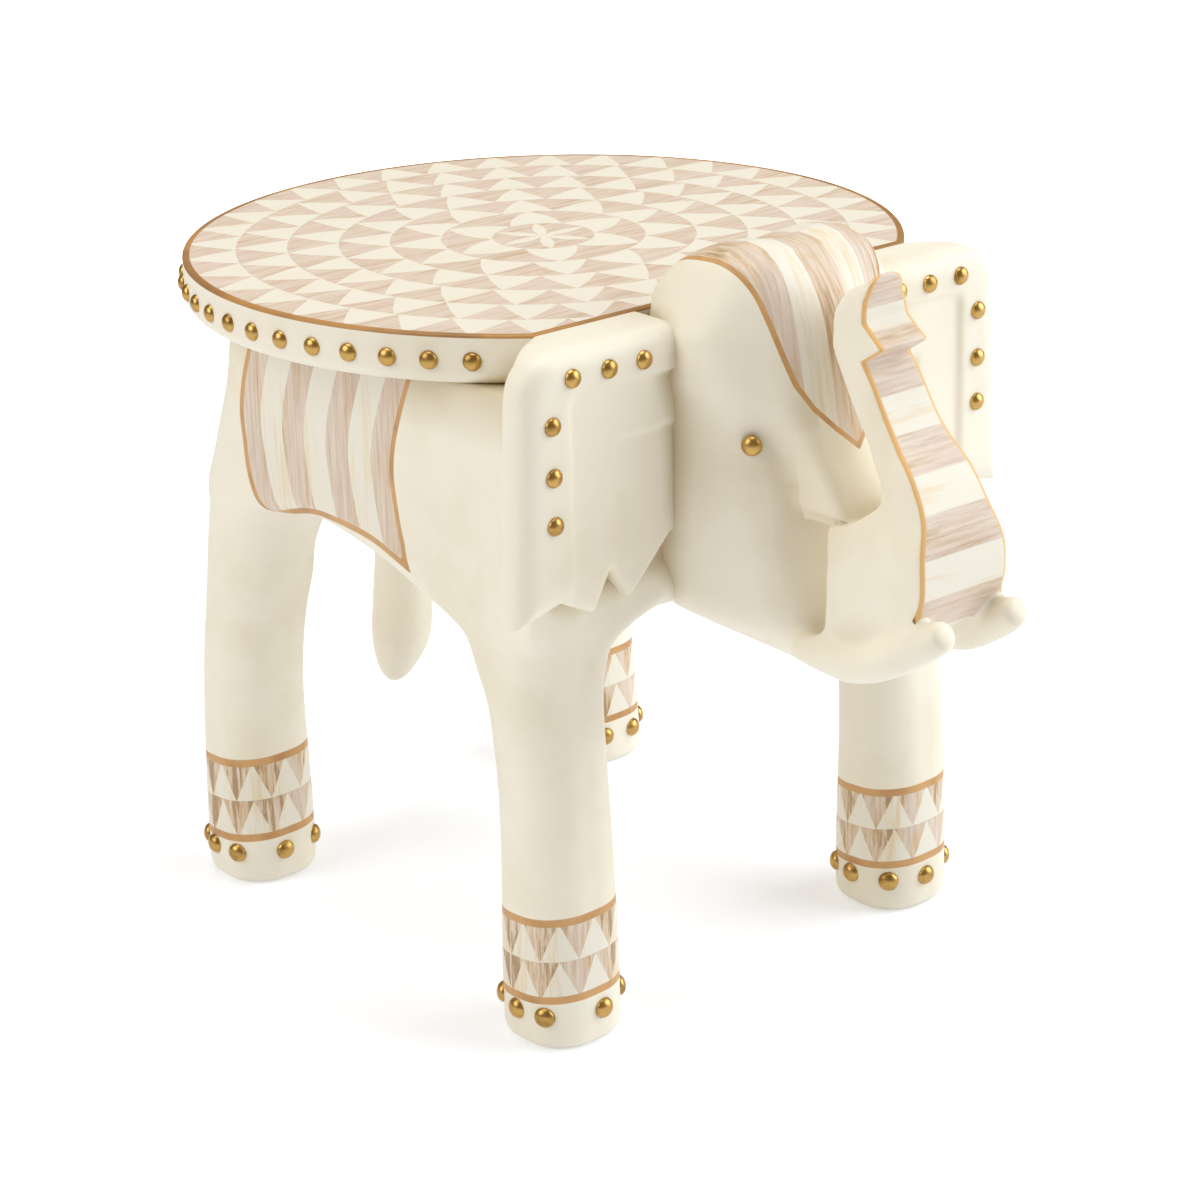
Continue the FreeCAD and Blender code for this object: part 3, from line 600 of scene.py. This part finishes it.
# A point just inside the slanted end of a tusk
tusk_cut = (-321.0, 240.0)
# Points of the axis, in x, y and z, and the radius there
tusk_line = ((34.0, -236.0, 212.0, 6.5), (33.3, -262.0, 211.6, 7.65), (32.0, -278.0, 214.0, 8.1),
             (30.6, -290.0, 219.4, 8.3), (27.9, -303.0, 227.5, 8.5), (25.8, -313.0, 234.2, 8.3),
             (24.5, -318.5, 238.3, 7.6))
tail_line = ((0.0, 117.0, 292.0, 8.2), (0.0, 129.5, 255.0, 9.9), (0.0, 138.3, 216.0, 11.0),
             (0.0, 140.6, 151.0, 16.0), (0.0, 143.2, 114.0, 17.75), (0.0, 149.3, 92.4, 13.5),
             (0.0, 153.5, 79.3, 7.0), (0.0, 155.0, 77.0, 2.0))


def tusk_form(x, y, z):
    """A blunt crescent, cut off at a slant near its tip."""
    end = (-(y - tusk_cut[0]) * 0.86 + (z - tusk_cut[1]) * 0.5) - 2.0
    return smooth_max(chain(x, y, z, flowing(tusk_line, 4)), end, 4.0)


def tail_form(x, y, z):
    return chain(x, y, z, flowing(tail_line, 5))


# Seat

def seat_form(x, y, z):
    """The plain board, used only to place the painted shade."""
    disc = np.maximum(np.hypot(x, y) - seat_radius, -seat_front - y)
    return np.maximum(disc, np.maximum(seat_height - seat_thickness - z, z - seat_height))


# Painted shade in hollows and creases: a coarse grid that holds how much wood lies round each place.
# The share on an open face, and how much more there is in a deep crease
open_share = 0.51
crease_more = 0.24
grid_low = (-210.0, -350.0, -30.0)
grid_high = (210.0, 210.0, 430.0)
grid_step = 4.0
shade_reach = 10.0


def crowding():
    """The share of wood round each place of the grid."""
    x, y, z = np.ogrid[tuple(slice(a, b, grid_step) for a, b in zip(grid_low, grid_high))]
    side = np.abs(x)
    wood = (body_form(x, y, z) < 0) | (head_form(x, y, z) < 0) | (ear_form(side, y, z) < 0)
    wood = (wood | (seat_form(x, y, z) < 0) | (tail_form(x, y, z) < 0)).astype(np.float32)
    reach = int(3 * shade_reach / grid_step)
    weights = np.exp(-(np.arange(-reach, reach + 1) * grid_step / shade_reach) ** 2 / 2)
    for axis in range(3):
        wood = sum(w * np.roll(wood, i - reach, axis) for i, w in enumerate(weights / weights.sum()))
    return wood


def hollows(points):
    """How much painted shade each point gets: from 0 on open faces to 1 in deep creases."""
    at = (np.asarray(points) - np.array(grid_low)) / grid_step
    base = np.floor(at).astype(int)
    part = at - base
    total = 0
    for corner in np.ndindex(2, 2, 2):
        weight = np.prod(np.where(corner, part, 1 - part), axis=1)
        total = total + weight * crowd[tuple((base + corner).T)]
    return np.clip((total - open_share) / crease_more, 0, 1)


# Grid for the painted shade in creases and hollows
crowd = crowding()


def make_seat():
    """Rings of the turned board, sawn straight at the head."""
    turns = 360
    start = math.asin(seat_front / seat_radius)
    top, low = seat_height, seat_height - seat_thickness
    levels = [(inset, top) for inset in (120.0, 60.0, 20.0, 6.0, 2.2, 1.0)]
    for a in np.linspace(0.3, 1.57, 5):
        levels.append((seat_top_round * (1 - math.sin(a)), top - seat_top_round * (1 - math.cos(a))))
    levels += [(0.0, top - 6.0), (0.0, low + 9.0)]
    for a in np.linspace(0, 1.57, 9):
        levels.append((seat_low_round * (1 - math.cos(a)), low + seat_low_round * (1 - math.sin(a))))
    levels += [(30.0, low), (120.0, low)]
    points, faces = [], []
    for inset, z in levels:
        radius, chord = seat_radius - inset, seat_front - inset
        half = math.acos(chord / radius)
        arc = [(-math.pi / 2 + half) + (2 * math.pi - 2 * half) * i / turns for i in range(turns + 1)]
        points += [(radius * math.cos(a), radius * math.sin(a), z) for a in arc]
    ring = turns + 1
    for level in range(len(levels) - 1):
        for i in range(ring):
            j = (i + 1) % ring
            a, b = level * ring, (level + 1) * ring
            faces.append((a + j, a + i, b + i, b + j))
    faces.append(tuple(range(ring)))
    faces.append(tuple(range((len(levels) - 1) * ring, len(levels) * ring))[::-1])
    piece = make_mesh("seat", points, faces)
    painted(piece, hollow=hollows(points))
    return piece


# Domed nails

# Reach and rise of each ring of a nail's dome, as shares of half its width, and the rise of its crown
dome_shares = ((1.0, -0.12), (1.0, 0.02), (0.985, 0.1), (0.93, 0.24), (0.82, 0.38), (0.65, 0.51),
               (0.42, 0.61), (0.2, 0.66))
crown_share = 0.68


def dome(centre, outward, width, points, faces):
    """Adds one nail head with a soft edge to a list of points and faces."""
    out = Vector(outward).normalized()
    side = out.orthogonal().normalized()
    other = out.cross(side)
    turns = 28
    base = len(points)
    for reach, rise in dome_shares:
        for i in range(turns):
            a = 2 * math.pi * i / turns
            p = Vector(centre) + (side * math.cos(a) + other * math.sin(a)) * (width / 2 * reach)
            points.append(tuple(p + out * (width / 2 * rise)))
    points.append(tuple(Vector(centre) + out * (width / 2 * crown_share)))
    for row in range(len(dome_shares) - 1):
        for i in range(turns):
            j = (i + 1) % turns
            a, b = base + row * turns, base + (row + 1) * turns
            faces.append((a + i, a + j, b + j, b + i))
    last = base + (len(dome_shares) - 1) * turns
    for i in range(turns):
        faces.append((last + i, last + (i + 1) % turns, len(points) - 1))


def islands(node):
    """The vertices of each loose solid of a CAD node, in millimetres from the seat's centre."""
    mesh = frame["nodes"][node].data
    parent = list(range(len(mesh.vertices)))

    def root(i):
        while parent[i] != i:
            parent[i] = parent[parent[i]]
            i = parent[i]
        return i

    places = {}
    for v in mesh.vertices:
        key = tuple(round(c, 6) for c in v.co)
        parent[root(v.index)] = root(places.setdefault(key, v.index))
    for edge in mesh.edges:
        parent[root(edge.vertices[0])] = root(edge.vertices[1])
    groups = {}
    for v in mesh.vertices:
        groups.setdefault(root(v.index), []).append((v.co - SEAT_CENTRE) / MM)
    return list(groups.values())


def nail_frame(corners):
    """Where a CAD nail's dome meets the wood, and which way it points."""
    unique = []
    for c in corners:
        if all((c - u).length > 0.01 for u in unique):
            unique.append(c)
    middle = sum(unique, Vector()) / len(unique)
    shank = max(unique, key=lambda c: (c - middle).length)
    shank_end = [c for c in unique if (c - shank).length < 4.0]
    start = sum(shank_end, Vector()) / len(shank_end)
    crown = max(unique, key=lambda c: (c - start).length)
    top = [c for c in unique if abs((c - start).length - (crown - start).length) < 0.2]
    apex = sum(top, Vector()) / len(top)
    outward = (apex - start).normalized()
    return start + outward * nail_shank, outward


def make_nails(name, node, width, material):
    """Domes in the places of a CAD node's nails."""
    points, faces = [], []
    for corners in islands(node):
        centre, outward = nail_frame(corners)
        dome(centre, outward, width, points, faces)
    settle(make_mesh(name, points, faces), "brass_nails", material, node)


# Materials

class Paint:
    """Short names for building a node material."""

    def __init__(self, name):
        self.material = bpy.data.materials.new(name)
        self.material.use_nodes = True
        self.tree = self.material.node_tree
        self.shader = self.tree.nodes["Principled BSDF"]

    def link(self, source, target):
        if isinstance(source, (int, float)):
            target.default_value = source
        elif isinstance(source, (tuple, list)):
            target.default_value = (*source, 1.0) if len(target.default_value) == 4 else source
        else:
            self.tree.links.new(source, target)

    def math(self, kind, a, b=0.0, c=0.0):
        node = self.tree.nodes.new("ShaderNodeMath")
        node.operation = kind
        for value, target in zip((a, b, c), node.inputs):
            self.link(value, target)
        return node.outputs[0]

    def value(self, name):
        node = self.tree.nodes.new("ShaderNodeAttribute")
        node.attribute_name = name
        return node.outputs["Fac"]

    def place(self):
        return self.tree.nodes.new("ShaderNodeTexCoord").outputs["Object"]

    def split(self, vector):
        node = self.tree.nodes.new("ShaderNodeSeparateXYZ")
        self.link(vector, node.inputs[0])
        return node.outputs

    def scaled(self, vector, scale):
        node = self.tree.nodes.new("ShaderNodeMapping")
        self.link(vector, node.inputs["Vector"])
        node.inputs["Scale"].default_value = scale
        return node.outputs[0]

    def noise(self, vector, scale, detail=4.0, rough=0.55):
        node = self.tree.nodes.new("ShaderNodeTexNoise")
        self.link(vector, node.inputs["Vector"])
        node.inputs["Scale"].default_value = scale
        node.inputs["Detail"].default_value = detail
        node.inputs["Roughness"].default_value = rough
        return node.outputs["Fac"]

    def ramp(self, value, low, high):
        node = self.tree.nodes.new("ShaderNodeMapRange")
        node.interpolation_type = "SMOOTHSTEP"
        for source, key in ((value, 0), (low, 1), (high, 2)):
            self.link(source, node.inputs[key])
        return node.outputs[0]

    def mix(self, factor, a, b):
        node = self.tree.nodes.new("ShaderNodeMix")
        node.data_type = "RGBA"
        self.link(factor, node.inputs[0])
        self.link(a, node.inputs[6])
        self.link(b, node.inputs[7])
        return node.outputs[2]

    def bump(self, height, strength, distance):
        node = self.tree.nodes.new("ShaderNodeBump")
        node.inputs["Strength"].default_value = strength
        node.inputs["Distance"].default_value = distance
        self.link(height, node.inputs["Height"])
        self.link(node.outputs[0], self.shader.inputs["Normal"])


def linear(red, green, blue):
    """The linear colour of a tone given as it looks on a screen; none of them is near black."""
    return tuple(((c / 255 + 0.055) / 1.055) ** 2.4 for c in (red, green, blue))


cream = linear(243, 236, 218)
cream_shade = linear(236, 227, 204)
# Painted shade colour, laid into creases, hollows and under the seat
shade_tone = linear(192, 172, 128)
taupe = linear(223, 206, 189)
taupe_dark = linear(206, 184, 163)
taupe_light = linear(234, 220, 202)
ochre = linear(212, 182, 138)
brown = linear(176, 146, 110)
pale = linear(236, 230, 214)
pale_ochre = linear(230, 210, 172)
gold = linear(208, 162, 106)
gold_dark = linear(178, 130, 78)
gold_bright = linear(232, 186, 122)
rim_gold = linear(184, 136, 78)
rim_gold_dark = linear(158, 114, 66)
line_brown = linear(128, 90, 52)
brass = linear(198, 160, 92)
brass_dark = linear(134, 98, 48)
wood_light = linear(196, 158, 112)
wood_dark = linear(160, 118, 76)

# Brush marks: noise per metre along x, y and z, low along the strokes
seat_strokes = (26.0, 420.0, 26.0)
saddle_strokes = (420.0, 420.0, 20.0)
ankle_strokes = (420.0, 420.0, 34.0)
cloth_strokes = (420.0, 40.0, 20.0)
trunk_strokes = (26.0, 420.0, 420.0)
# Height of the brush marks, in metres
paint_relief = 0.0004


def cream_paint(p, place):
    """Warm cream with faint clouds of an older coat, and painted shade in the hollows and creases."""
    cloud = p.noise(place, 14.0, 4.0)
    coat = p.mix(p.ramp(cloud, 0.42, 0.72), cream, cream_shade)
    # Painted shade: the coat is mixed towards the dark tone by the per-vertex crease and overhang value
    return p.mix(p.math("MULTIPLY", p.value("hollow"), 0.85), coat, shade_tone)


def brushed(p, place, scale):
    """Fine brush marks, and the broad patches in which they are stronger."""
    fine = p.noise(p.scaled(place, scale), 1.0, 5.0, 0.7)
    broad = p.noise(p.scaled(place, [s * 0.22 + 6.0 for s in scale]), 1.0, 3.0)
    return fine, broad


def taupe_paint(p, place, scale, wear):
    """Taupe brushed over ochre and brown, which show more with wear; also gives the brush marks."""
    fine, broad = brushed(p, place, scale)
    coat = p.mix(p.ramp(fine, 0.34, 0.56), taupe_dark, taupe)
    coat = p.mix(p.math("MULTIPLY", p.ramp(fine, 0.55, 0.72), 0.7), coat, taupe_light)
    patch = p.math("MULTIPLY", p.ramp(broad, 0.52 - 0.14 * wear, 0.72 - 0.14 * wear), wear)
    coat = p.mix(patch, coat, p.mix(p.ramp(fine, 0.4, 0.62), ochre, coat))
    deep = p.ramp(p.math("SUBTRACT", broad, fine), 0.2 - 0.12 * wear, 0.36 - 0.14 * wear)
    return p.mix(p.math("MULTIPLY", deep, wear), coat, brown), fine


def pale_paint(p, place, scale, wear):
    """Cream with the ochre brush marks of the striped parts."""
    fine, broad = brushed(p, place, scale)
    wash = p.ramp(p.math("ADD", broad, p.math("MULTIPLY", fine, 0.8)), 0.9, 1.12)
    return p.mix(p.math("MULTIPLY", wash, wear), pale, pale_ochre)


def gold_paint(p, place):
    worn = p.noise(place, 60.0, 3.0)
    return p.mix(p.math("MULTIPLY", p.ramp(worn, 0.4, 0.75), 0.7), gold, gold_dark)


def finish(p, colour, roughness=0.42):
    p.link(colour, p.shader.inputs["Base Color"])
    p.shader.inputs["Roughness"].default_value = roughness
    p.shader.inputs["Specular IOR Level"].default_value = 0.35
    return p.material


def lined(p, distance, plain, pattern, line, width, rim=0.0):
    """Plain outside, a painted line just inside the border and the pattern further in."""
    inner = p.ramp(distance, width - 0.25, width + 0.25)
    outer = p.ramp(distance, -0.25, 0.25)
    if rim:
        line = p.mix(p.ramp(distance, rim - 0.2, rim + 0.3), line_brown, line)
    return p.mix(outer, plain, p.mix(inner, line, pattern))


def seat_material():
    """Rings of triangles on top, a gold rim and a cream edge."""
    p = Paint("seat_paint")
    place = p.place()
    x, y, z = p.split(place)
    y = p.math("SUBTRACT", y, SEAT_CENTRE.y)
    square = p.math("ADD", p.math("MULTIPLY", x, x), p.math("MULTIPLY", y, y))
    radius = p.math("MULTIPLY", p.math("SQRT", square), 1 / MM)
    turn = p.math("DIVIDE", p.math("ARCTAN2", y, x), 2 * math.pi)
    ring = p.math("DIVIDE", radius, seat_ring)
    row = p.math("FLOOR", ring)
    teeth = p.math("MAXIMUM", p.math("MULTIPLY", row, seat_teeth), seat_teeth)
    saw = p.math("FRACT", p.math("ADD", p.math("MULTIPLY", turn, teeth), 10.0))
    tooth = p.math("ABSOLUTE", p.math("SUBTRACT", p.math("MULTIPLY", saw, 2.0), 1.0))
    within = p.math("SUBTRACT", ring, row)
    mask = p.ramp(p.math("SUBTRACT", within, tooth), -0.02, 0.02)
    dark, mark = taupe_paint(p, place, seat_strokes, 0.35)
    light = pale_paint(p, place, seat_strokes, 0.15)
    pattern = p.mix(mask, light, dark)
    edge = p.math("MINIMUM", p.math("SUBTRACT", seat_radius, radius),
                  p.math("ADD", p.math("MULTIPLY", y, 1 / MM), seat_front))
    on_top = p.ramp(z, (seat_height - 1.6) * MM, (seat_height - 1.2) * MM)
    rim = p.mix(p.ramp(p.noise(place, 18.0, 2.0), 0.4, 0.6), rim_gold, rim_gold_dark)
    top = p.mix(p.ramp(edge, seat_gold_width - 0.3, seat_gold_width + 0.3), rim, pattern)
    colour = p.mix(on_top, cream_paint(p, place), top)
    p.bump(mark, 0.12, paint_relief)
    return finish(p, colour)


def body_material():
    """The striped saddle and two rows of triangles at each ankle, edged in gold."""
    p = Paint("body_paint")
    place = p.place()
    dark, mark = taupe_paint(p, place, saddle_strokes, 0.5)
    light = pale_paint(p, place, saddle_strokes, 0.6)
    stripe = p.math("FRACT", p.math("MULTIPLY", p.value("across"), 0.5))
    pattern = p.mix(p.ramp(stripe, 0.492, 0.508), dark, light)
    plain = cream_paint(p, place)
    line = gold_paint(p, place)
    colour = lined(p, p.value("saddle"), plain, pattern, line, saddle_gold)
    height = p.value("height")
    turn = p.math("DIVIDE", p.math("ARCTAN2", p.value("turn_sin"), p.value("turn_cos")), 2 * math.pi)
    saw = p.math("FRACT", p.math("ADD", p.math("MULTIPLY", turn, ankle_teeth), 10.25))
    tooth = p.math("ABSOLUTE", p.math("SUBTRACT", p.math("MULTIPLY", saw, 2.0), 1.0))
    rise = p.math("DIVIDE", p.math("SUBTRACT", height, ankle_low), (ankle_high - ankle_low) / 2)
    mask = p.ramp(p.math("SUBTRACT", p.math("FRACT", rise), tooth), -0.03, 0.03)
    dark, _ = taupe_paint(p, place, ankle_strokes, 1.3)
    light = pale_paint(p, place, ankle_strokes, 0.9)
    band = p.mix(mask, light, dark)
    inside = p.math("MINIMUM", p.math("SUBTRACT", height, ankle_low - gold_half),
                    p.math("SUBTRACT", ankle_high + gold_half, height))
    colour = lined(p, inside, colour, band, line, 2 * gold_half)
    p.bump(mark, 0.08, paint_relief)
    return finish(p, colour)


def head_material():
    """The striped cloth on the forehead and the banded front of the trunk."""
    p = Paint("head_paint")
    place = p.place()
    dark, _ = taupe_paint(p, place, cloth_strokes, 0.8)
    light = pale_paint(p, place, cloth_strokes, 0.8)
    side = p.math("ABSOLUTE", p.value("side"))
    inner = p.ramp(side, cloth_edges[0] - 0.4, cloth_edges[0] + 0.4)
    outer = p.ramp(side, cloth_edges[1] - 0.4, cloth_edges[1] + 0.4)
    pattern = p.mix(outer, p.mix(inner, dark, light), dark)
    plain = cream_paint(p, place)
    line = gold_paint(p, place)
    colour = lined(p, p.value("cloth"), plain, pattern, line, cloth_gold)
    dark, mark = taupe_paint(p, place, trunk_strokes, 0.5)
    light = pale_paint(p, place, trunk_strokes, 0.6)
    stripe = p.math("PINGPONG", p.value("band"), 1.0)
    bands = p.mix(p.ramp(stripe, 0.3, 0.7), dark, light)
    front = lined(p, p.math("ADD", p.value("strip"), 0.3), colour, bands, gold_bright, trunk_gold, 0.5)
    colour = p.mix(p.ramp(p.value("facing"), -0.25, 0.25), colour, front)
    p.bump(mark, 0.08, paint_relief)
    return finish(p, colour)


def plain_material():
    p = Paint("cream_paint")
    place = p.place()
    mark = p.noise(p.scaled(place, (90.0, 90.0, 14.0)), 1.0, 5.0, 0.65)
    p.bump(mark, 0.08, paint_relief)
    return finish(p, cream_paint(p, place))


def brass_material():
    p = Paint("brass")
    place = p.place()
    worn = p.noise(place, 90.0, 2.0)
    colour = p.mix(p.ramp(worn, 0.45, 0.85), brass, brass_dark)
    p.link(colour, p.shader.inputs["Base Color"])
    p.shader.inputs["Metallic"].default_value = 1.0
    p.link(p.math("MULTIPLY_ADD", worn, 0.1, 0.26), p.shader.inputs["Roughness"])
    return p.material


def wood_material():
    p = Paint("bare_wood")
    place = p.place()
    grain = p.noise(p.scaled(place, (60.0, 60.0, 8.0)), 1.0, 6.0)
    return finish(p, p.mix(grain, wood_light, wood_dark), 0.7)


# Room, lights and camera

def make_room():
    """A white floor that glows, more so far away, so that it fades out as in the photo."""
    bpy.ops.mesh.primitive_plane_add(size=14.0, location=(0, 0, 0))
    floor = bpy.context.object
    floor.name = "floor"
    p = Paint("floor_white")
    nodes = p.tree.nodes
    path = nodes.new("ShaderNodeLightPath")
    glow = nodes.new("ShaderNodeEmission")
    away = nodes.new("ShaderNodeVectorMath")
    away.operation = "LENGTH"
    place = p.place()
    p.link(place, away.inputs[0])
    seen = p.math("ADD", 0.3, p.ramp(away.outputs["Value"], 0.35, 1.5))
    lit = path.outputs["Is Camera Ray"]
    unseen = p.math("MULTIPLY", 0.2, p.math("SUBTRACT", 1.0, lit))
    p.link(p.math("ADD", p.math("MULTIPLY", seen, lit), unseen), glow.inputs["Strength"])
    add = nodes.new("ShaderNodeAddShader")
    tint = p.noise(place, 2.0)
    p.link(p.mix(tint, (0.82, 0.845, 0.905), (0.83, 0.855, 0.915)), p.shader.inputs["Base Color"])
    p.shader.inputs["Roughness"].default_value = 0.9
    p.shader.inputs["Specular IOR Level"].default_value = 0.0
    p.link(p.shader.outputs[0], add.inputs[0])
    p.link(glow.outputs[0], add.inputs[1])
    p.link(add.outputs[0], nodes["Material Output"].inputs["Surface"])
    floor.data.materials.append(p.material)


def make_world():
    """White for the camera, and a dim warm light on everything else."""
    world = bpy.data.worlds.new("studio")
    bpy.context.scene.world = world
    world.use_nodes = True
    nodes, links = world.node_tree.nodes, world.node_tree.links
    path = nodes.new("ShaderNodeLightPath")
    tone = nodes.new("ShaderNodeMix")
    tone.data_type = "RGBA"
    tone.inputs[6].default_value = (0.28, 0.24, 0.185, 1)
    tone.inputs[7].default_value = (1, 1, 1, 1)
    links.new(path.outputs["Is Camera Ray"], tone.inputs[0])
    links.new(tone.outputs[2], nodes["Background"].inputs["Color"])


def add_light(name, place, target, size, power, colour=(1, 1, 1)):
    data = bpy.data.lights.new(name, "AREA")
    data.shape = "DISK"
    data.size = size
    data.energy = power
    data.color = colour
    lamp = bpy.data.objects.new(name, data)
    bpy.context.scene.collection.objects.link(lamp)
    lamp.location = place
    lamp.rotation_euler = (Vector(target) - Vector(place)).to_track_quat("-Z", "Y").to_euler()


def make_lights():
    target = (0, 0, 0.2)
    add_light("left", (-2.1, 0.5, 1.6), target, 2.0, 28.0, (0.92, 0.94, 0.95))
    add_light("right", (2.0, -1.6, 1.5), target, 3.0, 79.0, (0.87, 0.93, 1.0))
    add_light("top", (0.0, 0.3, 2.5), target, 1.8, 27.0, (0.97, 0.98, 1.0))


def make_camera():
    azimuth, elevation, roll = [math.radians(a) for a in camera_angles]
    target = Vector(camera_target) + SEAT_CENTRE
    back = Vector((math.sin(azimuth) * math.cos(elevation), -math.cos(azimuth) * math.cos(elevation),
                   math.sin(elevation)))
    right = Vector((math.cos(azimuth), math.sin(azimuth), 0))
    up = back.cross(right)
    across = right * math.cos(roll) + up * math.sin(roll)
    above = up * math.cos(roll) - right * math.sin(roll)
    data = bpy.data.cameras.new("camera")
    data.sensor_width = sensor_width
    data.lens = focal_length / image_size * sensor_width
    data.shift_x = image_shift[0] / image_size
    data.shift_y = image_shift[1] / image_size
    camera = bpy.data.objects.new("camera", data)
    bpy.context.scene.collection.objects.link(camera)
    turn = Matrix((across, above, back)).transposed().to_4x4()
    camera.matrix_world = Matrix.Translation(target + back * camera_distance) @ turn
    bpy.context.scene.camera = camera


# The stool

# Grids of the carved pieces: low corner, high corner and step
body_grid = ((-156, -180, -3), (164, 160, 350), 2.0)
head_grid = ((-72, -330, 186), (72, -140, 410), 1.3)
ear_grid = {1: ((58, -184, 228), (168, -140, 374), 1.2), -1: ((-168, -184, 228), (-58, -140, 374), 1.2)}
tail_grid = ((-20, 106, 70), (20, 166, 302), 1.5)


def make_stool():
    plain = plain_material()
    metal = brass_material()
    seat = make_seat()
    settle(seat, "painted_seat", seat_material(), "seat_board")
    body, points = carved("body", body_form, *body_grid)
    paint_body(body, points)
    settle(body, "painted_body", body_material(), "torso", "leg_front_left", "leg_front_right",
           "leg_rear_left", "leg_rear_right")
    head, points = carved("head_and_trunk", head_form, *head_grid)
    paint_head(head, points)
    settle(head, "painted_body", head_material(), "head", "trunk", "tusk_left", "tusk_right")
    for side, name in ((1, "left"), (-1, "right")):
        def ear(x, y, z):
            return ear_form(x * side, y, z)

        piece, points = carved("ear_carved_" + name, ear, *ear_grid[side])
        painted(piece, hollow=hollows(points))
        settle(piece, "painted_body", plain, "ear_" + name)
        make_nails("ear_nail_heads_" + name, "ear_nails_" + name, rim_nail, metal)
        for leg in ("front_" + name, "rear_" + name):
            make_nails("ankle_nail_heads_" + leg, "ankle_nails_" + leg, ankle_nail, metal)
    piece, points = carved("tail_carved", tail_form, *tail_grid)
    painted(piece, hollow=hollows(points))
    settle(piece, "painted_body", plain, "tail")
    make_nails("seat_nail_heads", "seat_rim_nails", rim_nail, metal)
    make_nails("eye_nail_heads", "eye_nails", eye_nail, metal)
    wood = wood_material()
    for node in ("leg_tenons", "seat_tenons", "head_tenons", "ear_tenons", "trunk_tenon", "tail_tenon"):
        mesh = frame["nodes"][node].data
        mesh.materials.clear()
        mesh.materials.append(wood)


make_camera()
make_room()
make_world()
make_lights()
make_stool()
bpy.context.scene.view_settings.view_transform = "Standard"
bpy.context.view_layer.update()
